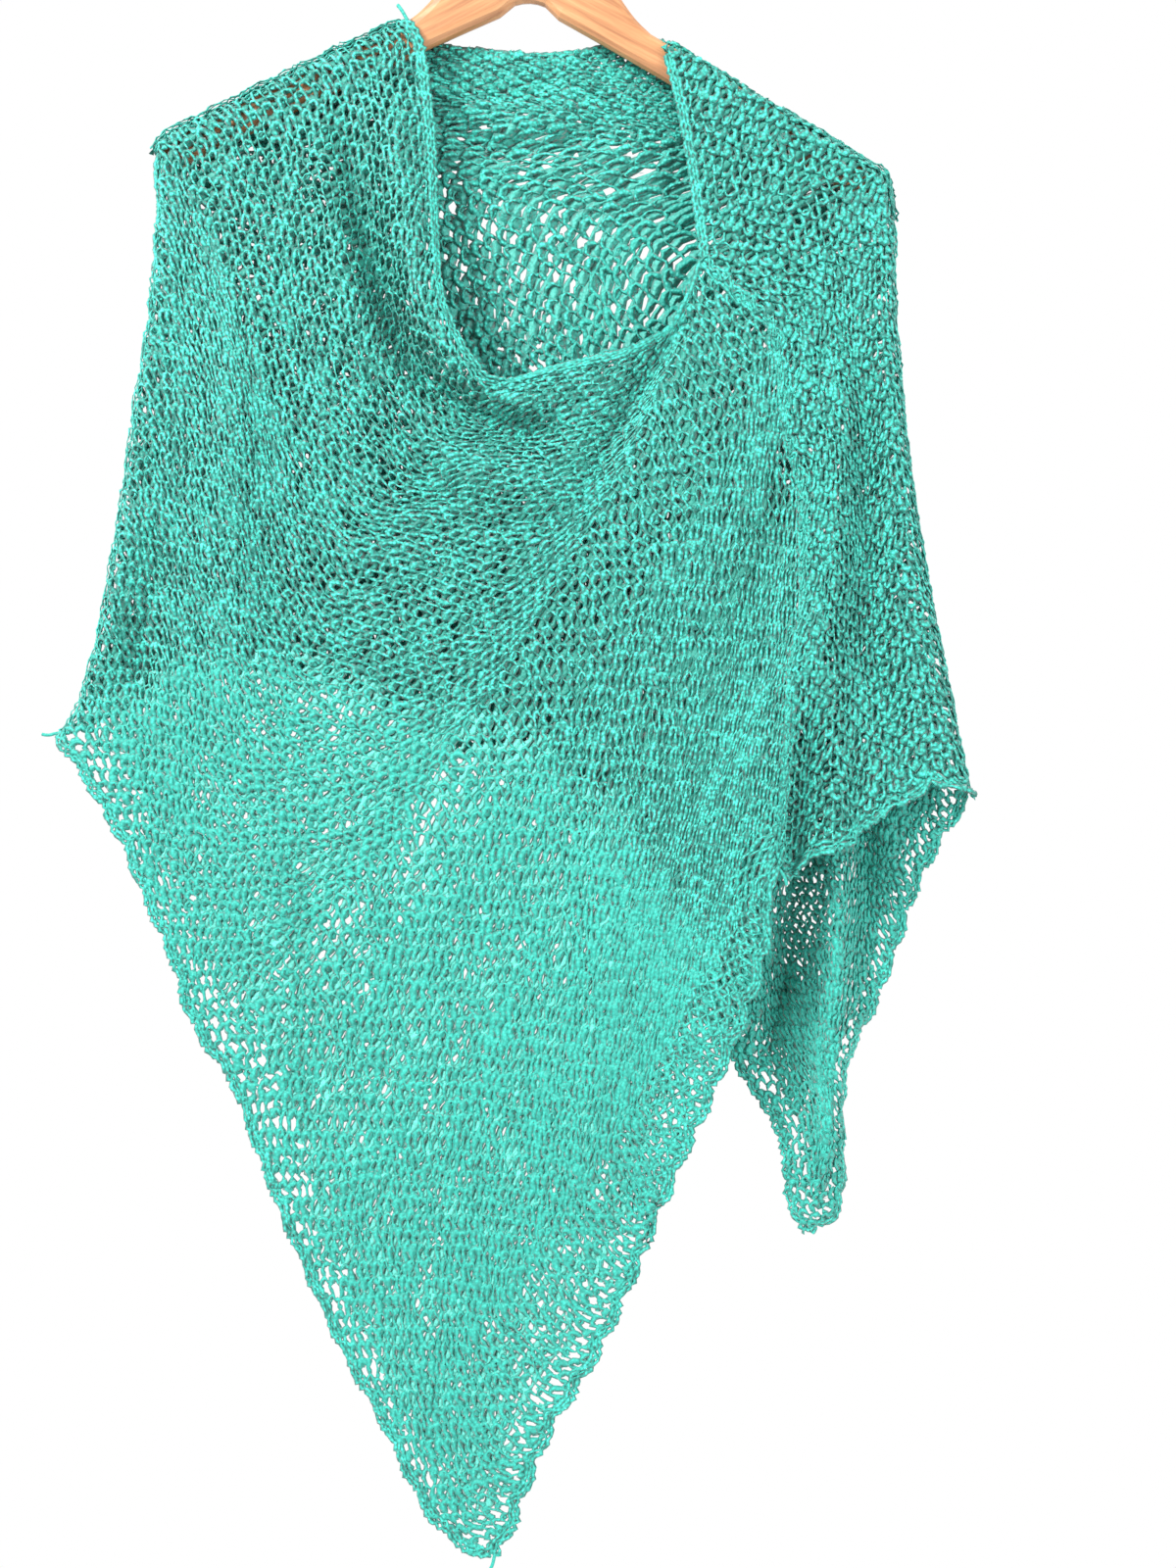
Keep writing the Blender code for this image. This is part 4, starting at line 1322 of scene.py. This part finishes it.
steel = {
    "drawScale": 300.0,
    "colours": [(0.3, (0.55, 0.55, 0.56)), (0.7, (0.72, 0.72, 0.73))],
    "finish": {"Metallic": 1.0, "Roughness": 0.24},
}


def makeSteel():
    material, tree, shader = newMaterial("plated_steel", steel["finish"])
    drawn = noise(tree, objectPlace(tree), steel["drawScale"])
    plug(shader, "Base Color", ramp(tree, outlet(drawn, "Fac"), steel["colours"]))
    return material


# The photo's frame is 960 mm tall at the hanger's plane, which the camera sees straight on
studio = {
    "cameraPlace": (0.030, -1.150, -0.5894),
    "frameHeight": 0.960,
    "sensor": 36.0,
    "floorRadius": 1.95,
    "floorHeight": -1.9,
    "floorFinish": {"Base Color": (0.86, 0.86, 0.85, 1), "Roughness": 0.8},
    "lampsAim": (0, 0, -0.55),
    "lamps": {
        "key": {"place": (-1.45, -1.45, 0.95), "size": 0.7, "power": 108.0},
        "fill": {"place": (1.6, -1.5, -0.2), "size": 1.4, "power": 38.0},
    },
}


def setStage():
    scene = bpy.context.scene
    scene.view_settings.view_transform = "Standard"
    view = bpy.data.cameras.new("camera")
    view.sensor_fit = "VERTICAL"
    view.sensor_height = view.sensor_width = studio["sensor"]
    view.lens = studio["sensor"] * -studio["cameraPlace"][1] / studio["frameHeight"]
    camera = bpy.data.objects.new("camera", view)
    camera.location = studio["cameraPlace"]
    camera.rotation_euler = (math.pi / 2, 0, 0)
    scene.collection.objects.link(camera)
    scene.camera = camera

    world = bpy.data.worlds.new("pale studio")
    world.use_nodes = True
    world.node_tree.nodes["Background"].inputs["Color"].default_value = (1, 1, 1, 1)
    world.node_tree.nodes["Background"].inputs["Strength"].default_value = 1.0
    scene.world = world

    around = np.radians(np.arange(0, 360, 5))
    radius, height = studio["floorRadius"], studio["floorHeight"]
    edge = [(radius * math.cos(turn), radius * math.sin(turn), height) for turn in around]
    mesh = bpy.data.meshes.new("floor")
    mesh.from_pydata(edge, [], [list(range(len(edge)))])
    mesh.materials.append(newMaterial("pale_floor", studio["floorFinish"])[0])
    floor = bpy.data.objects.new("floor", mesh)
    scene.collection.objects.link(floor)

    for name, plan in studio["lamps"].items():
        lamp = bpy.data.lights.new(name, "AREA")
        lamp.size = plan["size"]
        lamp.energy = plan["power"]
        light = bpy.data.objects.new(name, lamp)
        light.location = plan["place"]
        aim = Vector(studio["lampsAim"]) - Vector(plan["place"])
        light.rotation_euler = aim.to_track_quat("-Z", "Y").to_euler()
        scene.collection.objects.link(light)
    print("stage: camera, floor and", len(studio["lamps"]), "lamps")


def paintNode(name, material):
    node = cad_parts[name]
    if not node.material_slots:
        node.data.materials.append(material)
    for slot in node.material_slots:
        slot.material = material


setStage()
yarn = makeYarn("aqua_slub_yarn", yarnLook)
surfaces = drapeCloth()
names = {"pale": "painted_light_aqua_strand", "soft": "painted_light_soft_aqua_strand", "shade": "painted_shade_aqua_strand"}
looks = {look: makeYarn(names[look], {**yarnLook, **colours}) for look, colours in strandColours.items()}
looks["yarn"] = yarn
knit, strands = knitCloth(surfaces, looks)
edges = edgeCloth(surfaces, yarn)
ends = makeYarnEnds(surfaces, yarn)
for piece in (ends, *edges.values(), *(strand for fine in strands.values() for strand in fine)):
    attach(piece, "root")
for name, piece in knit.items():
    plan = knitPieces[name]
    rows = plan["rows"]
    length = (rows[1] - rows[0]) / cloth["rows"] * cloth["length"] * mm
    width = surfaceWidths[plan["surface"]] * cloth["width"] * mm
    area = min(flatArea(surfaces[plan["surface"]], rows), width * length)
    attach(piece, "root")
    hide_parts("poncho_" + plan["surface"])
    onIt = [edges[edge] for edge, side in edgePieces.items() if side[0] == plan.get("edges")]
    onIt += strands[name] + ([ends] if name == "knit_front_point" else [])
for surface in surfaces.values():
    bpy.data.objects.remove(surface, do_unlink=True)
paintNode("hanger", makeWood())
paintNode("hook", makeSteel())
